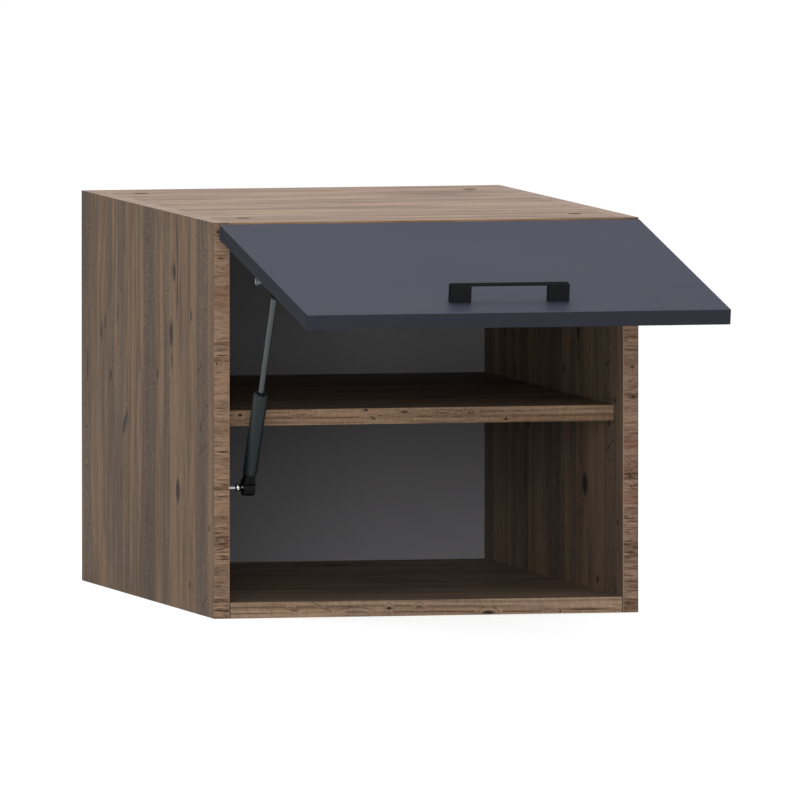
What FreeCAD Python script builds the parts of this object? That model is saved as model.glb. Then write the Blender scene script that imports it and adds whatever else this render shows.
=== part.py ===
"""Wall cabinet with a flap door: every piece is its own solid in its own file.

Millimetres. X runs to the right, Y runs back to the wall, Z runs up. The origin is on the wall plane,
in the middle of the back, at the height of the underside. The flap is drawn shut and then swung open,
because the cabinet is kept with its door standing open at the stop of the gas strut.
"""

import FreeCAD, Part

import math
import os

from FreeCAD import Vector

# Carcass
cabinet_width = 440.0
cabinet_height = 400.0
side_depth = 608.0
board = 16.0
back_thickness = 3.0
back_inset = 1.0
carcass_band = 0.8

# Shelf
shelf_height = 192.0
shelf_board = 16.0
shelf_setback = 39.0
shelf_play = 0.5
shelf_back_play = 1.0

# Shelf supports
support_peg_radius = 2.5
support_peg_length = 9.0
support_width = 7.0
support_reach = 10.0
support_thickness = 2.4
support_web = 2.0
support_drop = 9.0
support_peg_drop = 5.6
support_front_inset = 158.0
support_back_inset = 62.0

# Cam joints between the sides and the top and bottom panels
cam_radius = 7.5
cam_height = 12.4
cam_inset = 31.5
cam_front_inset = 77.0
cam_back_inset = 68.0
cam_sink = 0.3
cam_slot_width = 1.6
cam_slot_length = 9.0
cam_slot_depth = 2.2
bolt_shaft_radius = 3.5
bolt_neck_radius = 1.9
bolt_neck_length = 4.6
bolt_head_radius = 3.2
bolt_head_length = 3.0
bolt_thread_radius = 2.5
bolt_thread_length = 11.0
bolt_room = 0.5
dowel_radius = 4.0
dowel_side_depth = 12.0
dowel_panel_depth = 18.0
dowel_step = 32.0
dowel_end_play = 0.4
fit_play = 0.05

# Screws that hold the back panel
back_screw_radius = 1.4
back_screw_length = 15.0
back_screw_head_radius = 2.8
back_screw_head_depth = 1.6
back_screw_height_shares = (0.07, 0.36, 0.64, 0.93)
back_screw_width_shares = (-0.22, 0.22)

# Flap door
door_thickness = 16.0
door_gap = 1.5
door_side_reveal = 2.5
door_top_reveal = 2.0
door_bottom_reveal = 2.0
door_band = 1.0
pivot_face_inset = 1.7
pivot_edge_inset = 0.8
open_angle = 80.0

# Soft stops on the inside of the flap
stop_radius = 4.0
stop_thickness = 1.2
stop_side_distance = 60.0
stop_margin = 1.0

# Bridge handle
handle_width = 122.5
handle_leg_width = 21.7
handle_depth = 8.0
handle_projection = 18.4
handle_bar_thickness = 1.9
handle_edge_distance = 43.0
handle_chamfer = 0.5
handle_screw_radius = 2.0
handle_screw_bite = 8.0
handle_screw_head_radius = 4.0
handle_screw_head_height = 2.2

# Concealed hinges
hinge_inset = 92.5
cup_radius = 17.5
cup_depth = 11.5
cup_wall = 1.0
cup_bottom_play = 0.5
cup_edge_distance = 4.0
cup_rim_radius = 19.0
cup_plate_half_length = 32.0
cup_plate_half_width = 7.5
cup_plate_offset = 6.0
cup_plate_thickness = 1.2
cup_screw_spacing = 48.0
cup_screw_radius = 1.7
cup_screw_length = 11.0
cup_screw_head_radius = 3.2
cup_screw_head_depth = 1.0
cup_pin_radius = 1.25
cup_pin_depth = 2.0
cup_pin_edge_distance = 9.0
cup_notch_play = 0.4
cup_notch_depth = 0.8
ear_inner = 6.6
ear_thickness = 1.4
ear_half_width = 3.0
link_half_width = 6.2
link_cup_end_radius = 2.6
link_arm_end_radius = 3.0
link_half_thickness = 1.2
arm_pin_reach = 30.0
arm_tip_radius = 3.6
arm_inner = 7.0
arm_sheet = 1.5
arm_drop = 11.5
arm_back_reach = 58.0
arm_bend_back = 14.0
arm_plate_play = 0.3
arm_shoulder_back = 9.0
rivet_radius = 1.4
rivet_head_radius = 2.4
rivet_head_height = 0.8
mount_plate_setback = 37.0
mount_plate_half_length = 22.0
mount_plate_half_width = 9.0
mount_plate_thickness = 2.5
mount_rib_half_width = 6.7
mount_rib_front = 17.0
mount_rib_back = 19.0
mount_screw_spacing = 32.0
mount_screw_radius = 1.9
mount_screw_length = 12.0
mount_screw_head_radius = 3.6
mount_screw_head_depth = 1.8
arm_screw_radius = 2.4
arm_screw_length = 7.0
arm_screw_head_radius = 3.8
arm_screw_head_height = 1.6
arm_screw_front_shift = 8.0
arm_screw_back_shift = 10.0

# Gas strut on the left side
strut_inset = 40.9
strut_lower_back = 26.3
strut_lower_drop = 269.1
strut_upper_drop = 97.4
strut_upper_standoff = 20.8
ball_radius = 4.0
ball_neck_radius = 2.2
socket_half_length = 6.2
lower_socket_radius = 8.8
upper_socket_radius = 7.0
socket_chamfer = 0.7
socket_sides = 12
socket_turn = 16.3
socket_mouth_radius = 3.7
socket_neck_half_width = 5.0
socket_neck_half_depth = 5.2
socket_shoulder_high = 9.0
socket_shoulder_low = 6.0
socket_groove_width = 1.2
socket_groove_depth = 0.8
socket_tip_radius = 3.7
tube_start = 16.6
tube_radius = 7.5
tube_length = 98.5
tube_wall = 1.0
tube_floor = 3.0
tube_lid = 1.2
tube_lid_hole_radius = 3.6
tube_round = 1.8
tube_stud_radius = 3.0
tube_stud_length = 8.0
tube_stud_rise = 7.0
guide_length = 7.0
piston_length = 5.0
piston_stop_gap = 0.3
rod_radius = 3.0
rod_tip_start = 20.3
rod_bite = 8.0
stud_flange_radius = 6.5
stud_flange_thickness = 4.0
stud_pin_radius = 2.4
stud_bead_radius = 4.0
stud_bead_inset = 30.3
stud_thread_radius = 2.5
stud_thread_length = 12.0
open_pivot_gap = 0.3

# Bracket that carries the strut on the flap
bracket_inset = 20.2
bracket_sheet = 1.6
bracket_foot_width = 14.0
bracket_foot_half_length = 21.0
bracket_tip_radius = 3.8
bracket_neck_height = 12.0
bracket_screw_spacing = 28.0
bracket_screw_radius = 1.8
bracket_screw_length = 13.0
bracket_screw_head_radius = 3.2
bracket_screw_head_height = 2.0
bracket_stud_rivet_radius = 3.0
bracket_stud_rivet_height = 1.0

# Adjustable hangers in the upper back corners
hanger_width = 20.0
hanger_depth = 34.0
hanger_height = 50.0
hanger_wall = 2.5
hanger_top_gap = 1.0
hanger_hook_sheet = 2.5
hanger_hook_inset = 9.0
hanger_hook_height = 30.0
hanger_hook_length = 26.0
hanger_hook_slot = 3.0
hanger_hook_lip = 3.0
hanger_hook_slot_height = 9.0
hanger_hook_recess = 0.3
hanger_window_margin = 1.5
hanger_screw_radius = 2.0
hanger_screw_length = 12.0
hanger_screw_head_radius = 3.8
hanger_screw_head_height = 2.0
hanger_screw_spacing = 30.0
hanger_screw_depth = 22.0
hanger_adjuster_radius = 2.6
hanger_adjuster_head_radius = 4.0
hanger_adjuster_head_height = 2.5
hanger_adjuster_spacing = 24.0

# How far every cutting tool runs past the face that it opens
overrun = 1.0

half_width = cabinet_width / 2
inner_half = half_width - board
door_half_width = half_width - door_side_reveal
door_face = door_gap + door_thickness
pivot_forward = door_face - pivot_face_inset
pivot_drop = door_top_reveal + pivot_edge_inset
hinge_x = half_width - hinge_inset
strut_x = strut_inset - half_width
cam_places = (cam_front_inset, side_depth - cam_back_inset)
dowel_places = (cam_places[0] + dowel_step, cam_places[1] - dowel_step)
across = Vector(1, 0, 0)
forwards = Vector(0, -1, 0)
backwards = Vector(0, 1, 0)
upwards = Vector(0, 0, 1)

# Each kind of screw by its head's radius and height, its shank's radius and its length
back_screw = (back_screw_head_radius, back_screw_head_depth, back_screw_radius, back_screw_length)
cup_screw = (cup_screw_head_radius, cup_screw_head_depth, cup_screw_radius, cup_screw_length)
mount_screw = (mount_screw_head_radius, mount_screw_head_depth, mount_screw_radius, mount_screw_length)
arm_screw = (arm_screw_head_radius, arm_screw_head_height, arm_screw_radius, arm_screw_length)
hanger_screw = (hanger_screw_head_radius, hanger_screw_head_height, hanger_screw_radius, hanger_screw_length)
handle_screw_length = door_thickness + handle_screw_bite
handle_screw = (handle_screw_head_radius, handle_screw_head_height, handle_screw_radius, handle_screw_length)
bracket_screw = (
    bracket_screw_head_radius,
    bracket_screw_head_height,
    bracket_screw_radius,
    bracket_screw_length,
)
adjuster_length = hanger_depth + back_thickness - hanger_hook_recess - hanger_hook_length
adjuster = (
    hanger_adjuster_head_radius,
    hanger_adjuster_head_height,
    hanger_adjuster_radius,
    adjuster_length,
)
rivet = (rivet_head_radius, rivet_head_height, rivet_radius, arm_inner + arm_sheet - ear_inner)


def at(x, forward, drop):
    """A point given by its place across, in front of the carcass and below its top."""
    return Vector(x, -(back_thickness + side_depth) - forward, cabinet_height - drop)


def block(x0, x1, forward0, forward1, drop0, drop1):
    """A box between two places across, two in front of the carcass and two below its top."""
    low = at(min(x0, x1), max(forward0, forward1), max(drop0, drop1))
    high = at(max(x0, x1), min(forward0, forward1), min(drop0, drop1))
    size = high - low
    return Part.makeBox(size.x, size.y, size.z, low)


def bar(radius, start, end):
    """A round bar from one point to another."""
    return Part.makeCylinder(radius, (end - start).Length, start, end - start)


def taper(start_radius, end_radius, start, end):
    """A round bar whose radius changes evenly from one point to another."""
    return Part.makeCone(start_radius, end_radius, (end - start).Length, start, end - start)


def plate_across(outline, x0, x1):
    """A plate square to the X axis, from an outline of forward and drop pairs."""
    points = [at(min(x0, x1), forward, drop) for forward, drop in outline]
    face = Part.Face(Part.makePolygon(points + points[:1]))
    return face.extrude(Vector(abs(x1 - x0), 0, 0))


def joined(shapes):
    """One solid from shapes that touch or overlap."""
    return shapes[0].multiFuse(shapes[1:]).removeSplitter()


def swung(shape, angle):
    """A copy of a shape on the flap, turned about the flap's axis. A positive angle shuts it."""
    turned = shape.copy()
    turned.rotate(at(0, pivot_forward, pivot_drop), across, angle)
    return turned


def opened(shape):
    """A copy of a shape that was drawn on the shut flap, moved to where the open flap has it."""
    return swung(shape, -open_angle)


def countersunk_screw(head_point, direction, head_radius, head_depth, radius, length):
    """A screw whose flat head ends in the plane of head_point."""
    neck = head_point + direction * head_depth
    head = taper(head_radius, radius, head_point, neck)
    return joined([head, bar(radius, neck, head_point + direction * length)])


def countersunk_hole(head_point, direction, head_radius, head_depth, radius, length):
    """The room that a countersunk screw needs, with a little play all round."""
    mouth = head_point - direction * overrun
    head = taper(head_radius + fit_play, radius + fit_play, head_point, head_point + direction * head_depth)
    lead = bar(head_radius + fit_play, mouth, head_point)
    shank = bar(radius + fit_play, mouth, head_point + direction * (length + fit_play))
    return joined([lead, head, shank])


def headed_screw(seat, direction, head_radius, head_height, radius, length):
    """A screw whose round head stands on the plane of seat, with its shank going along direction."""
    head = bar(head_radius, seat - direction * head_height, seat)
    return joined([head, bar(radius, seat, seat + direction * length)])


def joint_drops():
    """The heights, below the top, of the middle of the top panel and of the bottom panel."""
    return (board / 2, cabinet_height - board / 2)


def back_screw_points():
    """Where the back panel's screws go in, on its rear face."""
    rear = -(side_depth + back_thickness)
    points = []
    for side in (-1, 1):
        for share in back_screw_height_shares:
            points.append(at(side * (half_width - board / 2), rear, cabinet_height * (1 - share)))
    for drop in joint_drops():
        for share in back_screw_width_shares:
            points.append(at(cabinet_width * share, rear, drop))
    return points


def back_screw_holes():
    """The holes for all screws of the back panel."""
    return [countersunk_hole(point, forwards, *back_screw) for point in back_screw_points()]


def shelf_drop():
    """How far the underside of the shelf is below the top of the cabinet."""
    return cabinet_height - shelf_height


def support_places():
    """How far behind the carcass front the four shelf supports stand, front and back."""
    return (shelf_setback + support_front_inset, side_depth - support_back_inset)


def hanger_top():
    """How far the top of a hanger is below the top of the cabinet."""
    return board + hanger_top_gap


def hanger_screw_points(side):
    """Where the screws of one hanger meet the inner face of its side panel."""
    middle = hanger_top() + hanger_height / 2
    back = -(side_depth - hanger_screw_depth)
    drops = (middle - hanger_screw_spacing / 2, middle + hanger_screw_spacing / 2)
    return [at(side * inner_half, back, drop) for drop in drops]


def lower_ball():
    """The centre of the strut's lower ball, on the left side panel."""
    return at(strut_x, -strut_lower_back, strut_lower_drop)


def upper_ball_shut():
    """The centre of the strut's upper ball with the flap shut."""
    return at(strut_x, door_gap - strut_upper_standoff, strut_upper_drop)


def upper_ball():
    """The centre of the strut's upper ball with the flap open."""
    return opened(Part.Vertex(upper_ball_shut())).Point


def strut_lean():
    """The angle between the open strut and the vertical."""
    line = upper_ball() - lower_ball()
    return math.degrees(math.atan2(-line.y, line.z))


def on_strut(shape, turned_over=False):
    """Moves a shape drawn upright about the lower ball, or about the upper one upside down, into place."""
    placed = shape.copy()
    if turned_over:
        placed.rotate(Vector(0, 0, 0), across, 180)
    placed.rotate(Vector(0, 0, 0), across, strut_lean())
    placed.translate(upper_ball() if turned_over else lower_ball())
    return placed


def side_panel(side):
    """A side panel with its holes for joints, shelf supports, hanger, back screws and strut."""
    face = side * inner_half
    panel = block(side * half_width, face, -side_depth, -carcass_band, 0, cabinet_height)
    holes = []
    for drop in joint_drops():
        for place in cam_places:
            start = at(face - side * overrun, -place, drop)
            end = at(face + side * (bolt_thread_length + bolt_room), -place, drop)
            holes.append(bar(bolt_thread_radius + fit_play, start, end))
        for place in dowel_places:
            start = at(face - side * overrun, -place, drop)
            end = at(face + side * dowel_side_depth, -place, drop)
            holes.append(bar(dowel_radius + fit_play, start, end))
    for place in support_places():
        drop = shelf_drop() + support_peg_drop
        start = at(face - side * overrun, -place, drop)
        end = at(face + side * (support_peg_length + bolt_room), -place, drop)
        holes.append(bar(support_peg_radius + fit_play, start, end))
    outward = across * side
    for point in hanger_screw_points(side):
        deep = point + outward * (hanger_screw_length - hanger_wall + bolt_room)
        holes.append(bar(hanger_screw_radius + fit_play, point - outward * overrun, deep))
    if side < 0:
        ball = lower_ball()
        start = Vector(face + overrun, ball.y, ball.z)
        end = Vector(face - stud_thread_length - bolt_room, ball.y, ball.z)
        holes.append(bar(stud_thread_radius + fit_play, start, end))
    return panel.cut(holes + back_screw_holes())


def cross_panel(drop0, cam_face, cam_turn, more_holes):
    """The top or bottom panel. cam_face is the face that its cams drop in from."""
    panel = block(-inner_half, inner_half, -side_depth, -carcass_band, drop0, drop0 + board)
    middle = drop0 + board / 2
    holes = []
    for side in (-1, 1):
        face = side * inner_half
        centre = face - side * cam_inset
        for place in cam_places:
            depth = cam_face + cam_turn * (cam_height + cam_sink)
            mouth = at(centre, -place, cam_face - cam_turn * overrun)
            holes.append(bar(cam_radius + fit_play, mouth, at(centre, -place, depth)))
            start = at(face + side * overrun, -place, middle)
            holes.append(bar(bolt_shaft_radius + bolt_room, start, at(centre, -place, middle)))
        for place in dowel_places:
            start = at(face + side * overrun, -place, middle)
            end = at(face - side * (dowel_panel_depth + dowel_end_play), -place, middle)
            holes.append(bar(dowel_radius + fit_play, start, end))
    return panel.cut(holes + back_screw_holes() + more_holes)


def top_panel():
    """The top panel, with its cams in the upper face and the hinge plates' screw holes below."""
    return cross_panel(0, 0, 1, [mount_screw_hole(point) for point in mount_screw_points()])


def bottom_panel():
    """The bottom panel, with its cams in the underside."""
    return cross_panel(cabinet_height - board, cabinet_height, -1, [])


def cam_lock(side, place, cam_face, cam_turn):
    """One cam: a disc with a cross slot and a hollow for the bolt's head."""
    centre = side * (inner_half - cam_inset)
    outer = cam_face + cam_turn * cam_sink
    cam = bar(cam_radius, at(centre, -place, outer), at(centre, -place, outer + cam_turn * cam_height))
    floor = outer + cam_turn * cam_slot_depth
    above = outer - cam_turn * overrun
    half = cam_slot_length / 2
    thin = cam_slot_width / 2
    slots = [
        block(centre - half, centre + half, -place - thin, -place + thin, above, floor),
        block(centre - thin, centre + thin, -place - half, -place + half, above, floor),
    ]
    middle = cam_face + cam_turn * board / 2
    start = at(centre + side * (cam_radius + overrun), -place, middle)
    end = at(centre - side * (bolt_head_length + bolt_room), -place, middle)
    return cam.cut(slots + [bar(bolt_shaft_radius + bolt_room, start, end)])


def cam_bolt(side, place, drop):
    """One cam bolt: a thread in the side panel, a shaft, a thin neck and a head inside the cam."""
    face = side * inner_half
    centre = side * (inner_half - cam_inset)
    neck_end = centre + side * bolt_head_length / 2
    neck_start = neck_end + side * bolt_neck_length
    thread_end = at(face + side * bolt_thread_length, -place, drop)
    thread = bar(bolt_thread_radius, thread_end, at(face, -place, drop))
    shaft = bar(bolt_shaft_radius, at(face, -place, drop), at(neck_start, -place, drop))
    neck = bar(bolt_neck_radius, at(neck_start, -place, drop), at(neck_end, -place, drop))
    head_end = at(neck_end - side * bolt_head_length, -place, drop)
    head = bar(bolt_head_radius, at(neck_end, -place, drop), head_end)
    return joined([thread, shaft, neck, head])


def cam_locks(cam_face, cam_turn):
    """The four cams of one cross panel."""
    return [cam_lock(side, place, cam_face, cam_turn) for side in (-1, 1) for place in cam_places]


def cam_bolts():
    """All eight cam bolts."""
    return [
        cam_bolt(side, place, drop)
        for drop in joint_drops()
        for side in (-1, 1)
        for place in cam_places
    ]


def dowels():
    """The eight wooden dowels beside the cam bolts."""
    pieces = []
    for drop in joint_drops():
        for side in (-1, 1):
            outer = side * (inner_half + dowel_side_depth - dowel_end_play)
            inner = side * (inner_half - dowel_panel_depth)
            for place in dowel_places:
                pieces.append(bar(dowel_radius, at(outer, -place, drop), at(inner, -place, drop)))
    return pieces


def side_band(side):
    """The edge band on the front of a side panel."""
    return block(side * half_width, side * inner_half, -carcass_band, 0, 0, cabinet_height)


def cross_band(drop0):
    """The edge band on the front of the top or bottom panel."""
    return block(-inner_half, inner_half, -carcass_band, 0, drop0, drop0 + board)


def back_panel():
    """The thin back, laid over the rear edges and level with the underside, with the hooks' windows."""
    rear = -(side_depth + back_thickness)
    reach = half_width - back_inset
    panel = block(-reach, reach, rear, -side_depth, back_inset, cabinet_height)
    holes = back_screw_holes()
    for side in (-1, 1):
        near = side * (inner_half - hanger_window_margin)
        far = side * (inner_half - hanger_width + hanger_window_margin)
        top = hanger_top() + hanger_window_margin
        low = hanger_top() + hanger_height - hanger_window_margin
        holes.append(block(near, far, rear - overrun, -side_depth + overrun, top, low))
    return panel.cut(holes)


def back_screws():
    """The countersunk screws round the back panel."""
    return [countersunk_screw(point, forwards, *back_screw) for point in back_screw_points()]


def shelf():
    """The loose shelf behind its edge band."""
    reach = inner_half - shelf_play
    back = -(side_depth - shelf_back_play)
    front = -(shelf_setback + carcass_band)
    return block(-reach, reach, back, front, shelf_drop() - shelf_board, shelf_drop())


def shelf_band():
    """The edge band on the front of the shelf."""
    reach = inner_half - shelf_play
    front = -shelf_setback
    return block(-reach, reach, front - carcass_band, front, shelf_drop() - shelf_board, shelf_drop())


def shelf_support(side, place):
    """One steel shelf support: a peg in the side, a short web and a tongue under the shelf."""
    face = side * inner_half
    drop = shelf_drop()
    half = support_width / 2
    peg_drop = drop + support_peg_drop
    peg = bar(
        support_peg_radius,
        at(face + side * support_peg_length, -place, peg_drop),
        at(face - side * support_web / 2, -place, peg_drop),
    )
    web = block(face, face - side * support_web, -place - half, -place + half, drop, drop + support_drop)
    tongue = block(
        face, face - side * support_reach, -place - half, -place + half, drop, drop + support_thickness
    )
    return joined([peg, web, tongue])


def shelf_supports():
    """The four shelf supports."""
    return [shelf_support(side, place) for side in (-1, 1) for place in support_places()]


def hanger_hook_centre(side):
    """Where, across the cabinet, the middle of a hanger's hook plate lies."""
    return side * (inner_half - hanger_hook_inset)


def hanger_housing(side):
    """The plastic housing of one hanger, open at the back, with room for the hook and adjusters."""
    face = side * inner_half
    top = hanger_top()
    rear = -side_depth
    front = rear + hanger_depth
    low = top + hanger_height
    shell = block(face, face - side * hanger_width, rear, front, top, low)
    room = block(
        face - side * hanger_wall,
        face - side * (hanger_width - hanger_wall),
        rear - overrun,
        front - hanger_wall,
        top + hanger_wall,
        low - hanger_wall,
    )
    outward = across * side
    holes = [room]
    for point in hanger_screw_points(side):
        start = point - outward * (hanger_wall + overrun)
        holes.append(bar(hanger_screw_radius + fit_play, start, point + outward * overrun))
    for drop in hanger_adjuster_drops():
        start = at(hanger_hook_centre(side), front + overrun, drop)
        end = at(hanger_hook_centre(side), front - hanger_wall - overrun, drop)
        holes.append(bar(hanger_adjuster_radius + fit_play, start, end))
    return shell.cut(holes)


def hanger_adjuster_drops():
    """The heights of the two adjusting screws of a hanger."""
    middle = hanger_top() + hanger_height / 2
    return (middle - hanger_adjuster_spacing / 2, middle + hanger_adjuster_spacing / 2)


def hanger_hook(side):
    """The steel hook plate of one hanger, drawn in until it is flush with the wall plane."""
    centre = hanger_hook_centre(side)
    half = hanger_hook_sheet / 2
    rear = -(side_depth + back_thickness) + hanger_hook_recess
    front = rear + hanger_hook_length
    middle = hanger_top() + hanger_height / 2
    top = middle - hanger_hook_height / 2
    low = middle + hanger_hook_height / 2
    slot_low = top + hanger_hook_slot_height
    slot_back = rear + hanger_hook_lip
    slot_front = slot_back + hanger_hook_slot
    outline = [
        (rear, top),
        (front, top),
        (front, low),
        (slot_front, low),
        (slot_front, slot_low - hanger_hook_slot),
        (slot_back, slot_low - hanger_hook_slot),
        (slot_back, slot_low),
        (rear, slot_low),
    ]
    return plate_across(outline, centre - half, centre + half)


def hanger_adjusters(side):
    """The two adjusting screws of one hanger, reached from inside the cabinet."""
    front = -side_depth + hanger_depth
    seats = [at(hanger_hook_centre(side), front, drop) for drop in hanger_adjuster_drops()]
    return [headed_screw(seat, backwards, *adjuster) for seat in seats]


def hanger_screws():
    """The screws that hold both hangers to the side panels."""
    pieces = []
    for side in (-1, 1):
        outward = across * side
        for point in hanger_screw_points(side):
            pieces.append(headed_screw(point - outward * hanger_wall, outward, *hanger_screw))
    return pieces


def cup_drop():
    """How far the middle of a hinge cup is below the top of the cabinet, with the flap shut."""
    return door_top_reveal + cup_edge_distance + cup_radius


def cup_pin_place():
    """The cup pin's place, forward and drop, with the flap shut."""
    return (door_gap + cup_pin_depth, door_top_reveal + cup_pin_edge_distance)


def arm_pin_place():
    """The arm pin's place, forward and drop. It is as far from the cup pin with the flap shut as open."""
    forward, drop = cup_pin_place()
    angle = math.atan2(drop - pivot_drop, forward - pivot_forward) - math.radians(open_angle) / 2
    return (pivot_forward + arm_pin_reach * math.cos(angle), pivot_drop + arm_pin_reach * math.sin(angle))


def cup_screw_points(x):
    """Where the two screws of a hinge cup meet its plate's outer face, with the flap shut."""
    drop = cup_drop() + cup_plate_offset
    reach = cup_screw_spacing / 2
    return [at(x + side * reach, door_gap - cup_plate_thickness, drop) for side in (-1, 1)]


def hinge_cup(x):
    """A hinge cup in the flap: a drawn cup with a plate and two ears for its pin."""
    drop = cup_drop()
    plate_face = door_gap - cup_plate_thickness
    floor = door_gap + cup_depth
    body = bar(cup_radius - fit_play, at(x, door_gap, drop), at(x, floor, drop))
    rim = bar(cup_rim_radius, at(x, plate_face, drop), at(x, door_gap, drop))
    plate_drop = drop + cup_plate_offset
    plate = block(
        x - cup_plate_half_length,
        x + cup_plate_half_length,
        plate_face,
        door_gap,
        plate_drop - cup_plate_half_width,
        plate_drop + cup_plate_half_width,
    )
    start = at(x, plate_face - overrun, drop)
    room = bar(cup_radius - cup_wall, start, at(x, floor - cup_wall, drop))
    shell = joined([body, rim, plate]).cut(room)
    pin_forward, pin_drop = cup_pin_place()
    ears = []
    for side in (-1, 1):
        ear = block(
            x + side * ear_inner,
            x + side * (ear_inner + ear_thickness),
            pin_forward - ear_half_width,
            floor,
            pin_drop - ear_half_width,
            pin_drop + ear_half_width,
        )
        ears.append(ear.common(bar(cup_radius - fit_play, start, at(x, floor, drop))))
    hole_reach = ear_inner + ear_thickness + overrun
    notch = link_half_width + cup_notch_play
    notch_floor = door_gap + cup_notch_depth
    notch_end = drop - cup_rim_radius - overrun
    holes = [
        block(x - notch, x + notch, plate_face - overrun, notch_floor, notch_end, pin_drop),
        bar(
            cup_pin_radius + fit_play,
            at(x - hole_reach, pin_forward, pin_drop),
            at(x + hole_reach, pin_forward, pin_drop),
        ),
    ]
    for point in cup_screw_points(x):
        holes.append(cup_screw_hole(point))
    return joined([shell] + ears).cut(holes)


def cup_screw_hole(point):
    """The hole for one screw of a hinge cup, through its plate and into the flap."""
    return countersunk_hole(point, forwards, *cup_screw)


def cup_screws():
    """The four screws of the hinge cups."""
    return [
        countersunk_screw(point, forwards, *cup_screw)
        for x in (-hinge_x, hinge_x)
        for point in cup_screw_points(x)
    ]


def cup_pin(x):
    """The pin that a hinge link turns on, held in the cup's ears."""
    forward, drop = cup_pin_place()
    reach = ear_inner + ear_thickness
    return bar(cup_pin_radius, at(x - reach, forward, drop), at(x + reach, forward, drop))


def hinge_link(x):
    """The link of one hinge, from the cup pin of the open flap to the arm's rivets."""
    forward, drop = cup_pin_place()
    cup_end = opened(Part.Vertex(at(x, forward, drop))).Point
    arm_end = at(x, *arm_pin_place())
    half = across * link_half_width
    line = arm_end - cup_end
    side_step = line.cross(across)
    side_step.normalize()
    side_step = side_step * link_half_thickness
    corners = [cup_end + side_step, arm_end + side_step, arm_end - side_step, cup_end - side_step]
    corners = [corner - half for corner in corners]
    web = Part.Face(Part.makePolygon(corners + corners[:1])).extrude(half * 2)
    ends = [
        bar(link_cup_end_radius, cup_end - half, cup_end + half),
        bar(link_arm_end_radius, arm_end - half, arm_end + half),
    ]
    hole = bar(cup_pin_radius + fit_play, cup_end - half * 2, cup_end + half * 2)
    return joined([web] + ends).cut(hole)


def mount_screw_points():
    """Where the screws of both mounting plates meet the plates' lower faces."""
    drop = board + mount_plate_thickness
    reach = mount_screw_spacing / 2
    return [
        at(x + side * reach, -mount_plate_setback, drop) for x in (-hinge_x, hinge_x) for side in (-1, 1)
    ]


def mount_screw_hole(point):
    """The hole for one screw of a mounting plate."""
    return countersunk_hole(point, upwards, *mount_screw)


def mount_screws():
    """The four screws of the mounting plates."""
    return [countersunk_screw(point, upwards, *mount_screw) for point in mount_screw_points()]


def arm_screw_points(x):
    """Where the two screws of a hinge arm meet the lower face of its web."""
    drop = board + arm_drop
    places = (mount_plate_setback - arm_screw_front_shift, mount_plate_setback + arm_screw_back_shift)
    return [at(x, -place, drop) for place in places]


def mounting_plate(x):
    """A mounting plate under the top panel, with the rib that carries the hinge arm."""
    base = block(
        x - mount_plate_half_length,
        x + mount_plate_half_length,
        -mount_plate_setback - mount_plate_half_width,
        -mount_plate_setback + mount_plate_half_width,
        board,
        board + mount_plate_thickness,
    )
    rib = block(
        x - mount_rib_half_width,
        x + mount_rib_half_width,
        -mount_plate_setback - mount_rib_back,
        -mount_plate_setback + mount_rib_front,
        board,
        board + arm_drop - arm_sheet,
    )
    holes = [mount_screw_hole(point) for point in mount_screw_points()]
    for point in arm_screw_points(x):
        top = point + upwards * (arm_screw_length + fit_play)
        holes.append(bar(arm_screw_radius + fit_play, point, top))
    return joined([base, rib]).cut(holes)


def hinge_arm(x):
    """A hinge arm: a bent channel over the mounting plate, with two cheeks that reach into the cup."""
    tip_forward, tip_drop = arm_pin_place()
    low = board + arm_drop
    top = board + mount_plate_thickness + arm_plate_play
    back = -arm_back_reach
    run = math.hypot(tip_forward + arm_bend_back, tip_drop - low)
    step_forward = arm_tip_radius * (tip_drop - low) / run
    step_drop = arm_tip_radius * (tip_forward + arm_bend_back) / run
    outline = [
        (back, top),
        (-arm_shoulder_back, top),
        (tip_forward + step_forward, tip_drop - step_drop),
        (tip_forward - step_forward, tip_drop + step_drop),
        (-arm_bend_back, low),
        (back, low),
    ]
    pieces = []
    holes = []
    for side in (-1, 1):
        inner = x + side * arm_inner
        outer = x + side * (arm_inner + arm_sheet)
        pieces.append(plate_across(outline, inner, outer))
        tip = at(inner, tip_forward, tip_drop)
        pieces.append(bar(arm_tip_radius, tip, at(outer, tip_forward, tip_drop)))
        start = at(inner - side * overrun, tip_forward, tip_drop)
        end = at(outer + side * overrun, tip_forward, tip_drop)
        holes.append(bar(rivet_radius + fit_play, start, end))
    reach = arm_inner + arm_sheet
    pieces.append(block(x - reach, x + reach, back, -arm_bend_back, low - arm_sheet, low))
    for point in arm_screw_points(x):
        start = point - upwards * overrun
        holes.append(bar(arm_screw_radius + fit_play, start, point + upwards * (arm_sheet + overrun)))
    return joined(pieces).cut(holes)


def arm_screws():
    """The screws that hold the hinge arms on their plates."""
    return [
        headed_screw(point, upwards, *arm_screw)
        for x in (-hinge_x, hinge_x)
        for point in arm_screw_points(x)
    ]


def arm_rivets():
    """The rivets at the arms' tips, one in each cheek, that the links hang between."""
    forward, drop = arm_pin_place()
    pieces = []
    for x in (-hinge_x, hinge_x):
        for side in (-1, 1):
            outer = at(x + side * (arm_inner + arm_sheet), forward, drop)
            pieces.append(headed_screw(outer, across * -side, *rivet))
    return pieces


def bracket_screw_points():
    """Where the strut bracket's screws meet its foot, with the flap shut."""
    x = bracket_inset - half_width + bracket_sheet + (bracket_foot_width - bracket_sheet) / 2
    reach = bracket_screw_spacing / 2
    return [at(x, door_gap - bracket_sheet, strut_upper_drop + side * reach) for side in (-1, 1)]


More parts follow.
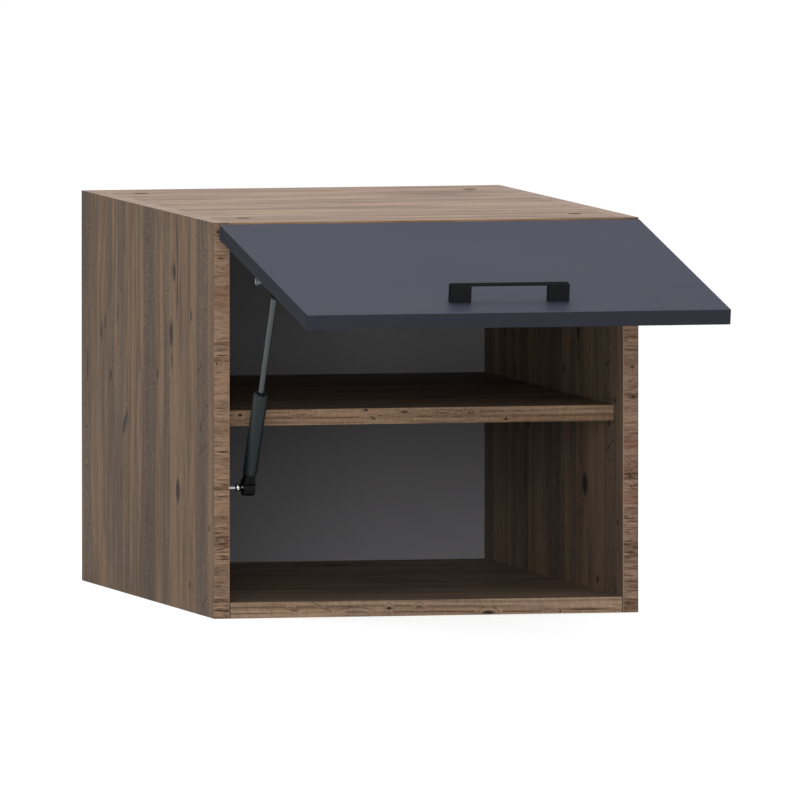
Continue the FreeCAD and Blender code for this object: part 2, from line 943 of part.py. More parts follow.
def strut_bracket():
    """The angle bracket on the flap: a foot under two screws and a flange that holds the ball stud."""
    x = bracket_inset - half_width
    drop = strut_upper_drop
    tip = door_gap - strut_upper_standoff
    half = bracket_foot_half_length
    foot = block(x, x + bracket_foot_width, door_gap - bracket_sheet, door_gap, drop - half, drop + half)
    neck = door_gap - bracket_neck_height
    outline = [
        (door_gap, drop - half),
        (door_gap, drop + half),
        (door_gap - bracket_sheet, drop + half),
        (neck, drop + bracket_tip_radius),
        (tip, drop + bracket_tip_radius),
        (tip, drop - bracket_tip_radius),
        (neck, drop - bracket_tip_radius),
        (door_gap - bracket_sheet, drop - half),
    ]
    flange = plate_across(outline, x, x + bracket_sheet)
    end = bar(bracket_tip_radius, at(x, tip, drop), at(x + bracket_sheet, tip, drop))
    start = at(x - overrun, tip, drop)
    stud_hole = bar(ball_neck_radius + fit_play, start, at(x + bracket_sheet + overrun, tip, drop))
    hole_radius = bracket_screw_radius + fit_play
    through = forwards * (bracket_sheet + overrun)
    screw_holes = [
        bar(hole_radius, point - forwards * overrun, point + through) for point in bracket_screw_points()
    ]
    return joined([foot, flange, end]).cut([stud_hole] + screw_holes)


def bracket_screws():
    """The two screws of the strut bracket."""
    return [headed_screw(point, forwards, *bracket_screw) for point in bracket_screw_points()]


def cut_plane_x():
    """The place across, just beside the upper socket, where the stud on the flap ends."""
    return strut_x - socket_half_length - open_pivot_gap


def bead(centre_x, ball, end_x):
    """The round collar of a ball stud, cut off square at end_x."""
    whole = Part.makeSphere(stud_bead_radius, Vector(centre_x, ball.y, ball.z))
    start = Vector(end_x - stud_bead_radius * 3, ball.y, ball.z)
    keep = bar(stud_bead_radius * 2, start, Vector(end_x, ball.y, ball.z))
    return whole.common(keep)


def upper_stud():
    """The stud on the flap's bracket, riveted in the flange, up to the cut beside the socket."""
    ball = upper_ball_shut()
    flange_inner = bracket_inset - half_width
    flange_outer = flange_inner + bracket_sheet
    end = cut_plane_x()
    bead_x = stud_bead_inset - half_width
    start = Vector(flange_inner - bracket_stud_rivet_height, ball.y, ball.z)
    rivet = bar(bracket_stud_rivet_radius, start, Vector(flange_inner, ball.y, ball.z))
    neck = bar(ball_neck_radius, start, Vector(flange_outer, ball.y, ball.z))
    pin = bar(stud_pin_radius, Vector(flange_outer, ball.y, ball.z), Vector(bead_x, ball.y, ball.z))
    return joined([rivet, neck, pin, bead(bead_x, ball, end)])


def lower_stud():
    """The ball stud screwed in the left side panel, with its flange, pin, collar, neck and ball."""
    ball = lower_ball()
    face = -inner_half
    flange_end = face + stud_flange_thickness
    bead_x = stud_bead_inset - half_width
    end = cut_plane_x()

    def point(x):
        return Vector(x, ball.y, ball.z)

    pieces = [
        bar(stud_thread_radius, point(face - stud_thread_length), point(face)),
        bar(stud_flange_radius, point(face), point(flange_end)),
        bar(stud_pin_radius, point(flange_end), point(bead_x)),
        bead(bead_x, ball, end),
        bar(ball_neck_radius, point(bead_x), point(strut_x)),
        Part.makeSphere(ball_radius, ball),
    ]
    return joined(pieces)


def socket_shape(socket_radius, neck_end, tip_radius, bite):
    """A ball socket, upright with the ball at the origin: a faceted cup, a neck and its tip."""
    corners = []
    for step in range(socket_sides):
        angle = math.radians(socket_turn + 360 * step / socket_sides)
        y = socket_radius * math.cos(angle)
        corners.append(Vector(-socket_half_length, y, socket_radius * math.sin(angle)))
    prism = Part.Face(Part.makePolygon(corners + corners[:1])).extrude(across * (socket_half_length * 2))
    left = across * -socket_half_length
    right = across * socket_half_length
    left_in = across * (socket_chamfer - socket_half_length)
    right_in = across * (socket_half_length - socket_chamfer)
    small = socket_radius - socket_chamfer
    envelope = joined(
        [
            taper(small, socket_radius, left, left_in),
            bar(socket_radius, left_in, right_in),
            taper(socket_radius, small, right_in, right),
        ]
    )
    cup = prism.common(envelope)
    outline = [
        (-socket_neck_half_width, tube_start),
        (-socket_half_length + socket_chamfer, socket_shoulder_high),
        (-socket_half_length + socket_chamfer, 0),
        (socket_half_length - socket_chamfer, 0),
        (socket_half_length - socket_chamfer, socket_shoulder_low),
        (socket_neck_half_width, tube_start),
    ]
    points = [Vector(x, -socket_neck_half_depth, z) for x, z in outline]
    neck = Part.Face(Part.makePolygon(points + points[:1])).extrude(Vector(0, socket_neck_half_depth * 2, 0))
    pieces = [cup, neck]
    if neck_end > tube_start:
        base = Vector(0, 0, tube_start)
        pieces.append(taper(socket_neck_half_width, tip_radius, base, Vector(0, 0, neck_end)))
    half = socket_groove_width / 2
    holes = []
    for side in (-1, 1):
        face = side * socket_neck_half_depth
        low = min(face - side * socket_groove_depth, face + side * overrun)
        corner = Vector(-half, low, ball_radius + socket_chamfer)
        deep = socket_groove_depth + overrun
        holes.append(Part.makeBox(socket_groove_width, deep, tube_start - socket_chamfer, corner))
    start = Vector(0, 0, neck_end - bite)
    holes.append(bar(rod_radius + fit_play, start, Vector(0, 0, neck_end + overrun)))
    holes.append(Part.makeSphere(ball_radius + fit_play, Vector(0, 0, 0)))
    holes.append(bar(socket_mouth_radius, left - across * overrun, Vector(0, 0, 0)))
    return joined(pieces).cut(holes)


def lower_socket():
    """The plastic socket at the foot of the strut."""
    bite = tube_stud_length + bolt_room
    return on_strut(socket_shape(lower_socket_radius, tube_start, socket_neck_half_width, bite))


def upper_socket():
    """The plastic socket at the top of the strut."""
    return on_strut(socket_shape(upper_socket_radius, rod_tip_start, socket_tip_radius, rod_bite), True)


def upper_ball_piece():
    """The ball in the upper socket, with a short neck up to the cut beside the socket."""
    ball = upper_ball()
    start = Vector(strut_x - socket_half_length, ball.y, ball.z)
    return joined([bar(ball_neck_radius, start, ball), Part.makeSphere(ball_radius, ball)])


def strut_tube():
    """The pressure tube of the gas strut, with the threaded stud that its lower socket is screwed on."""
    top = tube_start + tube_length
    outer = bar(tube_radius, Vector(0, 0, tube_start), Vector(0, 0, top))
    rims = [edge for edge in outer.Edges if isinstance(edge.Curve, Part.Circle)]
    outer = outer.makeFillet(tube_round, rims)
    floor = Vector(0, 0, tube_start + tube_floor)
    room = bar(tube_radius - tube_wall, floor, Vector(0, 0, top - tube_lid))
    hole = bar(tube_lid_hole_radius, floor, Vector(0, 0, top + overrun))
    stud = bar(tube_stud_radius, Vector(0, 0, tube_start - tube_stud_length), Vector(0, 0, tube_start))
    return on_strut(joined([outer.cut([room, hole]), stud]))


def guide_bottom():
    """How far above the lower ball the rod guide starts, along the strut."""
    return tube_start + tube_length - tube_lid - guide_length


def rod_guide():
    """The guide and seal that close the top of the tube round the rod."""
    low = Vector(0, 0, guide_bottom())
    high = Vector(0, 0, guide_bottom() + guide_length)
    body = bar(tube_radius - tube_wall - fit_play, low, high)
    room = bar(rod_radius + fit_play, low - Vector(0, 0, overrun), high + Vector(0, 0, overrun))
    return on_strut(body.cut(room))


def piston_top():
    """How far above the lower ball the top of the piston stands with the strut drawn out."""
    return guide_bottom() - piston_stop_gap


def strut_rod():
    """The piston rod, from the underside of the piston to inside the upper socket."""
    length = (upper_ball() - lower_ball()).Length
    low = Vector(0, 0, piston_top() - piston_length)
    high = Vector(0, 0, length - rod_tip_start + rod_bite)
    return on_strut(bar(rod_radius, low, high))


def strut_piston():
    """The piston on the inner end of the rod."""
    low = Vector(0, 0, piston_top() - piston_length)
    high = Vector(0, 0, piston_top())
    body = bar(tube_radius - tube_wall - fit_play, low, high)
    room = bar(rod_radius + fit_play, low - Vector(0, 0, overrun), high + Vector(0, 0, overrun))
    return on_strut(body.cut(room))


def handle_drop():
    """How far the middle of the handle is below the top of the cabinet, with the flap shut."""
    return cabinet_height - door_bottom_reveal - handle_edge_distance - handle_depth / 2


def handle_screw_points():
    """Where the handle's screws meet the inside of the flap, with the flap shut."""
    reach = (handle_width - handle_leg_width) / 2
    return [at(side * reach, door_gap, handle_drop()) for side in (-1, 1)]


def handle():
    """The bridge handle: two flat legs joined by a thin bar."""
    half = handle_width / 2
    drop = handle_drop()
    thin = handle_depth / 2
    top = door_face + handle_projection
    body = block(-half, half, door_face, top, drop - thin, drop + thin)
    edges = [edge for edge in body.Edges if abs(edge.CenterOfMass.y - at(0, top, 0).y) < overrun]
    body = body.makeChamfer(handle_chamfer, edges)
    reach = half - handle_leg_width
    under = top - handle_bar_thickness
    window = block(-reach, reach, door_face - overrun, under, drop - thin - overrun, drop + thin + overrun)
    holes = [window]
    for point in handle_screw_points():
        deep = point + forwards * (handle_screw_length + bolt_room)
        holes.append(bar(handle_screw_radius + fit_play, point, deep))
    return body.cut(holes)


def handle_screws():
    """The two screws that come through the flap into the handle's legs."""
    return [headed_screw(point, forwards, *handle_screw) for point in handle_screw_points()]


def door_panel():
    """The flap's board inside its edge bands, with the bores for cups and the screw holes."""
    reach = door_half_width - door_band
    top = door_top_reveal + door_band
    low = cabinet_height - door_bottom_reveal - door_band
    panel = block(-reach, reach, door_gap, door_face, top, low)
    holes = []
    for x in (-hinge_x, hinge_x):
        start = at(x, door_gap - overrun, cup_drop())
        holes.append(bar(cup_radius, start, at(x, door_gap + cup_depth + cup_bottom_play, cup_drop())))
        holes.extend(cup_screw_hole(point) for point in cup_screw_points(x))
    for point in bracket_screw_points():
        deep = point + forwards * (bracket_screw_length + bolt_room)
        holes.append(bar(bracket_screw_radius + fit_play, point, deep))
    for point in handle_screw_points():
        start = point - forwards * overrun
        end = point + forwards * (door_thickness + overrun)
        holes.append(bar(handle_screw_radius + fit_play, start, end))
    return panel.cut(holes)


def door_bands():
    """The edge bands on the four edges of the flap."""
    outer = door_half_width
    inner = outer - door_band
    top = door_top_reveal
    low = cabinet_height - door_bottom_reveal
    return [
        block(-outer, outer, door_gap, door_face, top, top + door_band),
        block(-outer, outer, door_gap, door_face, low - door_band, low),
        block(-outer, -inner, door_gap, door_face, top + door_band, low - door_band),
        block(inner, outer, door_gap, door_face, top + door_band, low - door_band),
    ]


def door_stops():
    """The two soft stops that meet the bottom panel's front edge when the flap is shut."""
    drop = cabinet_height - board + stop_margin + stop_radius
    x = door_half_width - stop_side_distance
    return [
        bar(stop_radius, at(side * x, door_gap - stop_thickness, drop), at(side * x, door_gap, drop))
        for side in (-1, 1)
    ]


def carcass_pieces():
    """Every piece that stays still, by the name of its file."""
    pieces = {
        "top_panel": [top_panel()],
        "bottom_panel": [bottom_panel()],
        "back_panel": [back_panel()],
        "back_panel_screws": back_screws(),
        "top_edge_band": [cross_band(0)],
        "bottom_edge_band": [cross_band(cabinet_height - board)],
        "shelf": [shelf()],
        "shelf_edge_band": [shelf_band()],
        "shelf_supports": shelf_supports(),
        "cam_locks_top": cam_locks(0, 1),
        "cam_locks_bottom": cam_locks(cabinet_height, -1),
        "cam_bolts": cam_bolts(),
        "wooden_dowels": dowels(),
        "hanger_screws": hanger_screws(),
        "hinge_plate_screws": mount_screws(),
        "hinge_arm_screws": arm_screws(),
        "hinge_arm_rivets": arm_rivets(),
        "strut_lower_ball_stud": [lower_stud()],
    }
    for name, side in (("left", -1), ("right", 1)):
        pieces["side_panel_" + name] = [side_panel(side)]
        pieces["side_edge_band_" + name] = [side_band(side)]
        pieces["hanger_housing_" + name] = [hanger_housing(side)]
        pieces["hanger_hook_" + name] = [hanger_hook(side)]
        pieces["hanger_adjusters_" + name] = hanger_adjusters(side)
        pieces["hinge_mounting_plate_" + name] = [mounting_plate(side * hinge_x)]
        pieces["hinge_arm_" + name] = [hinge_arm(side * hinge_x)]
    return pieces


def flap_pieces():
    """Every piece that rides on the flap, drawn shut and swung open, by the name of its file."""
    pieces = {
        "door_panel": [door_panel()],
        "door_edge_bands": door_bands(),
        "door_stops": door_stops(),
        "door_handle": [handle()],
        "door_handle_screws": handle_screws(),
        "hinge_cup_screws": cup_screws(),
        "strut_bracket": [strut_bracket()],
        "strut_bracket_screws": bracket_screws(),
        "strut_upper_stud": [upper_stud()],
    }
    for name, side in (("left", -1), ("right", 1)):
        pieces["hinge_cup_" + name] = [hinge_cup(side * hinge_x)]
        pieces["hinge_cup_pin_" + name] = [cup_pin(side * hinge_x)]
    return {name: [opened(solid) for solid in solids] for name, solids in pieces.items()}


def strut_pieces():
    """The pieces of the gas strut and the hinge links, drawn where the open flap has them."""
    pieces = {
        "strut_tube": [strut_tube()],
        "strut_lower_socket": [lower_socket()],
        "strut_rod_guide": [rod_guide()],
        "strut_rod": [strut_rod()],
        "strut_piston": [strut_piston()],
        "strut_upper_socket": [upper_socket()],
        "strut_upper_ball": [upper_ball_piece()],
        "hinge_link_left": [hinge_link(-hinge_x)],
        "hinge_link_right": [hinge_link(hinge_x)],
    }
    return pieces


def write(name, solids):
    """Writes one file, as a single solid or as a group of separate solids."""
    whole = solids[0] if len(solids) == 1 else Part.makeCompound(solids)
    whole.exportStep(os.path.join("parts", name + ".step"))


def report_motion():
    """Prints the numbers that the joints are stated with."""
    lower = lower_ball()
    drawn_out = upper_ball() - lower
    pushed_in = upper_ball_shut() - lower
    shut_lean = math.degrees(math.atan2(-pushed_in.y, pushed_in.z))
    print("pivot", at(0, pivot_forward, pivot_drop))
    print("lower ball", lower, "upper ball", upper_ball())
    print("strut open", drawn_out.Length, "shut", pushed_in.Length, "lean", strut_lean(), shut_lean)
    print("strut direction", drawn_out.normalize())
    forward, drop = cup_pin_place()
    shut_end = at(0, forward, drop)
    open_end = opened(Part.Vertex(shut_end)).Point
    arm_end = at(0, *arm_pin_place())
    open_angle_link = math.degrees(math.atan2((arm_end - open_end).z, (arm_end - open_end).y))
    shut_angle_link = math.degrees(math.atan2((arm_end - shut_end).z, (arm_end - shut_end).y))
    print("cup pin open", open_end, "arm pin", arm_end)
    print("link length", (arm_end - open_end).Length, (arm_end - shut_end).Length)
    print("link angle open", open_angle_link, "shut", shut_angle_link)


def main():
    """Builds and writes every piece."""
    os.makedirs("parts", exist_ok=True)
    for pieces in (carcass_pieces(), flap_pieces(), strut_pieces()):
        for name, solids in pieces.items():
            write(name, solids)
    report_motion()


main()
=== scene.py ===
import logging
import math
from dataclasses import dataclass, replace
from enum import Enum
from typing import Iterable, Sequence

import bmesh
import bpy
from mathutils import Matrix, Vector

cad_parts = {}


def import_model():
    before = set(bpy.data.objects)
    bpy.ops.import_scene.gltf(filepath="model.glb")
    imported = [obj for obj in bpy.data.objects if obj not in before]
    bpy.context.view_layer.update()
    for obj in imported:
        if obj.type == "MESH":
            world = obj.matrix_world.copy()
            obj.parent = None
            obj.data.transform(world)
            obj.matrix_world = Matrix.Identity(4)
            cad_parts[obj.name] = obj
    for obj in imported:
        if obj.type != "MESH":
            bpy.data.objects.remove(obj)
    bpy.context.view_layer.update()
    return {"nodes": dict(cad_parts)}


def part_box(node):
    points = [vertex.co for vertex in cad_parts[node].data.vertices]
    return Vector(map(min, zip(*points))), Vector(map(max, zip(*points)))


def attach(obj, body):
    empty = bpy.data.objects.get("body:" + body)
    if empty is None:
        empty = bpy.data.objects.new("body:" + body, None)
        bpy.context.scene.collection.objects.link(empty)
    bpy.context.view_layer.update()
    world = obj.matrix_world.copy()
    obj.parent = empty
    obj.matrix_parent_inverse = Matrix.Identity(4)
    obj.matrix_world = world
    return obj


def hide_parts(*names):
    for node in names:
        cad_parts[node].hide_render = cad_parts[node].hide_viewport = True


LOG = logging.getLogger("cabinet")
Colour = tuple[float, float, float]
Profile = Sequence[tuple[float, float]]
Aimed = tuple[Vector, Vector]

# The names of the CAD part's bodies that get new pieces.
CARCASS = "carcass"
FLAP = "flap"
TUBE = "strut_tube_body"
ROD = "strut_rod_body"

# How far the flap stands open at rest, and a point of its hinge line.
OPEN_ANGLE = math.radians(80.0)
FLAP_PIVOT = Vector((0.0, -0.6268, 0.3972))

# The ways that screws are driven, the last one from the open flap's inner face to its outer one.
UP = Vector((0.0, 0.0, 1.0))
FORWARD = Vector((0.0, -1.0, 0.0))
INTO_FLAP = Vector((0.0, -math.cos(OPEN_ANGLE), math.sin(OPEN_ANGLE)))

# How far one unit of seed moves the printed grain along, across and into a board, in metres.
SEED_STEPS = (0.731, 0.417, 0.29)


class Axis(Enum):
    """An axis of the cabinet's own frame."""

    X = 0
    Y = 1
    Z = 2


class Wire:
    """One output of a node. Python's operators on it add Math nodes."""

    def __init__(self, graph: "Graph", socket: bpy.types.NodeSocket) -> None:
        """Keeps the tree that new nodes go in, and the output that this wire starts from."""
        self.graph = graph
        self.socket = socket

    def _math(self, operation: str, *values: "Wire | float") -> "Wire":
        """Adds one Math node and returns its result."""
        return self.graph.add("ShaderNodeMath", {"operation": operation}, dict(enumerate(values)))

    def __add__(self, other: "Wire | float") -> "Wire":
        """Adds."""
        return self._math("ADD", self, other)

    def __radd__(self, other: float) -> "Wire":
        """Adds, with the number first."""
        return self._math("ADD", other, self)

    def __sub__(self, other: "Wire | float") -> "Wire":
        """Subtracts."""
        return self._math("SUBTRACT", self, other)

    def __rsub__(self, other: float) -> "Wire":
        """Subtracts from a number."""
        return self._math("SUBTRACT", other, self)

    def __mul__(self, other: "Wire | float") -> "Wire":
        """Multiplies."""
        return self._math("MULTIPLY", self, other)

    def __rmul__(self, other: float) -> "Wire":
        """Multiplies, with the number first."""
        return self._math("MULTIPLY", other, self)

    def __pow__(self, other: "Wire | float") -> "Wire":
        """Raises to a power."""
        return self._math("POWER", self, other)

    def __gt__(self, other: "Wire | float") -> "Wire":
        """One where this is larger, nought elsewhere."""
        return self._math("GREATER_THAN", self, other)

    def sine(self) -> "Wire":
        """The sine of an angle in radians."""
        return self._math("SINE", self)

    def size(self) -> "Wire":
        """The number without its sign."""
        return self._math("ABSOLUTE", self)

    def at_most(self, other: "Wire | float") -> "Wire":
        """The smaller of two."""
        return self._math("MINIMUM", self, other)

    def at_least(self, other: "Wire | float") -> "Wire":
        """The larger of two."""
        return self._math("MAXIMUM", self, other)

    def rise(self, low: float, high: float) -> "Wire":
        """Goes smoothly from nought to one. With low above high it falls instead.

        Args:
            low: Where the result is nought.
            high: Where it is one.

        Returns:
            The smooth step.
        """
        if low > high:
            return 1.0 - self.rise(high, low)
        settings = {"interpolation_type": "SMOOTHSTEP"}
        return self.graph.add("ShaderNodeMapRange", settings, {0: self, 1: low, 2: high, 3: 0.0, 4: 1.0})


class Graph:
    """A node tree that is filled from Python."""

    def __init__(self, tree: bpy.types.NodeTree) -> None:
        """Empties a shader or geometry tree and keeps it."""
        self.tree = tree
        self.tree.nodes.clear()

    def add(
        self,
        kind: str,
        settings: dict[str, object] | None = None,
        inputs: dict[str | int, object] | None = None,
        output: int | str = 0,
    ) -> Wire:
        """Adds any node.

        Args:
            kind: The node's type name.
            settings: Its own settings, which are set first.
            inputs: Values, wires or lists of wires for its sockets, by name or number.
            output: The output that is returned, by name or number.

        Returns:
            The wire that starts at that output.
        """
        node = self.tree.nodes.new(kind)
        for name, value in (settings or {}).items():
            setattr(node, name, value)
        for key, value in (inputs or {}).items():
            socket = node.inputs[key]
            if isinstance(value, (Wire, list)):
                for wire in value if isinstance(value, list) else [value]:
                    self.tree.links.new(wire.socket, socket)
            elif isinstance(value, tuple) and len(value) == 3 and socket.type == "RGBA":
                socket.default_value = (*value, 1.0)
            else:
                socket.default_value = value
        return Wire(self, node.outputs[output] if node.outputs else None)

    def place(self) -> Wire:
        """The point in the cabinet's own frame, in metres."""
        return self.add("ShaderNodeTexCoord", output="Object")

    def axes(self) -> tuple[Wire, ...]:
        """The point's three numbers."""
        split = self.add("ShaderNodeSeparateXYZ", inputs={0: self.place()})
        return tuple(Wire(self, socket) for socket in split.socket.node.outputs)

    def point(self, x: Wire | float, y: Wire | float, z: Wire | float) -> Wire:
        """A vector from three numbers."""
        return self.add("ShaderNodeCombineXYZ", inputs={0: x, 1: y, 2: z})

    def noise(self, place: Wire, scale: float, detail: float = 2.0, roughness: float = 0.5) -> Wire:
        """Soft noise from nought to one.

        Args:
            place: Where to read it.
            scale: How many features fit in one unit.
            detail: How many finer layers are added.
            roughness: How strong those are.

        Returns:
            The noise.
        """
        inputs = {"Vector": place, "Scale": scale, "Detail": detail, "Roughness": roughness}
        return self.add("ShaderNodeTexNoise", {"noise_dimensions": "3D"}, inputs)

    def grain(self, x: Wire | float, y: Wire | float, z: Wire | float, *layers: float) -> Wire:
        """Soft noise at three numbers that are scaled already, with noise's detail and roughness."""
        return self.noise(self.point(x, y, z), 1.0, *layers)

    def cells(self, place: Wire, output: str = "Distance") -> Wire:
        """Distances to scattered points, or a random colour for each."""
        inputs = {"Vector": place, "Scale": 1.0}
        return self.add("ShaderNodeTexVoronoi", {"voronoi_dimensions": "3D"}, inputs, output)

    def mix(self, share: Wire | float, first: Wire | Colour, second: Wire | Colour) -> Wire:
        """Mixes two colours."""
        return self.add("ShaderNodeMix", {"data_type": "RGBA"}, {0: share, 6: first, 7: second}, 2)

    def shade(self, colour: Wire | Colour, factor: Wire) -> Wire:
        """A colour made darker or lighter by a factor."""
        inputs = {0: 1.0, 6: colour, 7: self.point(factor, factor, factor)}
        return self.add("ShaderNodeMix", {"data_type": "RGBA", "blend_type": "MULTIPLY"}, inputs, 2)

    def bump(self, height: Wire, distance: float, strength: float = 1.0) -> Wire:
        """A normal that follows a height from nought to one, with its full depth in metres."""
        inputs = {"Height": height, "Distance": distance, "Strength": strength}
        return self.add("ShaderNodeBump", inputs=inputs)

    def seen(self) -> Wire:
        """One for what the camera sees, also through or in a surface, and nought for lighting.

        Returns:
            The mask.
        """
        rays = self.add("ShaderNodeLightPath").socket.node.outputs
        kinds = ("Is Camera Ray", "Is Glossy Ray", "Is Transmission Ray")
        camera, glossy, through = (Wire(self, rays[kind]) for kind in kinds)
        return camera.at_least(glossy).at_least(through)

    def surface(self, **inputs: object) -> None:
        """Ends the tree in a Principled shader.

        Args:
            inputs: Values or wires for its sockets. Underscores stand for the spaces in their names.
        """
        names = {name.replace("_", " "): value for name, value in inputs.items()}
        shader = self.add("ShaderNodeBsdfPrincipled", inputs=names)
        self.add("ShaderNodeOutputMaterial", inputs={"Surface": shader})


def linear(red: int, green: int, blue: int) -> Colour:
    """A colour given as it is seen on a screen, from 0 to 255, as linear light."""
    shares = (value / 255.0 for value in (red, green, blue))
    return tuple(s / 12.92 if s <= 0.04045 else ((s + 0.055) / 1.055) ** 2.4 for s in shares)


def quarter(steps: int) -> list[tuple[float, float]]:
    """The sine and cosine at even steps of a quarter turn."""
    angles = (math.pi / 2 * step / steps for step in range(steps + 1))
    return [(math.sin(angle), math.cos(angle)) for angle in angles]


@dataclass(frozen=True)
class Finish:
    """A surface finish, which makes its material once."""

    name: str

    def material(self) -> bpy.types.Material:
        """Finds the finish's material, or makes it at its first use.

        Returns:
            The material.
        """
        material = bpy.data.materials.get(self.name)
        if material is None:
            material = bpy.data.materials.new(self.name)
            material.use_nodes = True
            self.paint(Graph(material.node_tree))
        return material

    def paint(self, graph: Graph) -> None:
        """Fills the material's tree."""
        raise NotImplementedError


@dataclass(frozen=True)
class Mark:
    """One dark split or knot of the printed wood, a lens with pointed ends. The long mark along the sides'
    rear edges is painted shade.
    """

    along: float
    across: float
    length: float
    width: float
    lean: float = 0.0
    depth: float = 1.0

    def spread(self, along: Wire, across: Wire) -> Wire:
        """How far out a point lies from the mark.

        Args:
            along: The point's place along the board, in metres.
            across: Its place across the board.

        Returns:
            Nought in the middle and one on the outline.
        """
        down = (along - self.along) * (2.0 / self.length)
        aside = (across - self.across - down * self.lean) * (2.0 / self.width)
        return down * down + aside.size()


@dataclass(frozen=True)
class Streak:
    """A darker strip of the printed wood that runs its whole length."""

    across: float
    width: float
    strength: float = 0.5

    def cover(self, across: Wire, mottle: Wire) -> Wire:
        """How far the strip covers a point, from its place across the board and a noise."""
        band = (across - self.across).size().rise(self.width * 0.54, self.width * 0.44)
        return band * mottle * self.strength


def marks_from(*rows: tuple[float, ...]) -> tuple[Mark, ...]:
    """Marks from rows of numbers, each in the order of a mark's fields."""
    return tuple(Mark(*row) for row in rows)


def brush(
    marks: tuple[Mark, ...], along: Wire, across: Wire, ragged: Wire, reach: float
) -> tuple[Wire, Wire]:
    """Lays all the marks of a board.

    Args:
        marks: The marks, at least one.
        along: The point's place along the board.
        across: Its place across the board.
        ragged: Noise round nought that frays the outlines.
        reach: How far the grain bends round a mark, in half widths.

    Returns:
        How dark the marks are at the point, and how much the grain bends there.
    """
    spots, swirl = None, None
    for mark in marks:
        spread = mark.spread(along, across)
        spot = (spread + ragged).rise(1.0, 0.3) * mark.depth
        bend = spread.rise(reach, 0.4)
        spots = spot if spots is None else spots.at_least(spot)
        swirl = bend if swirl is None else swirl.at_least(bend)
    return spots, swirl


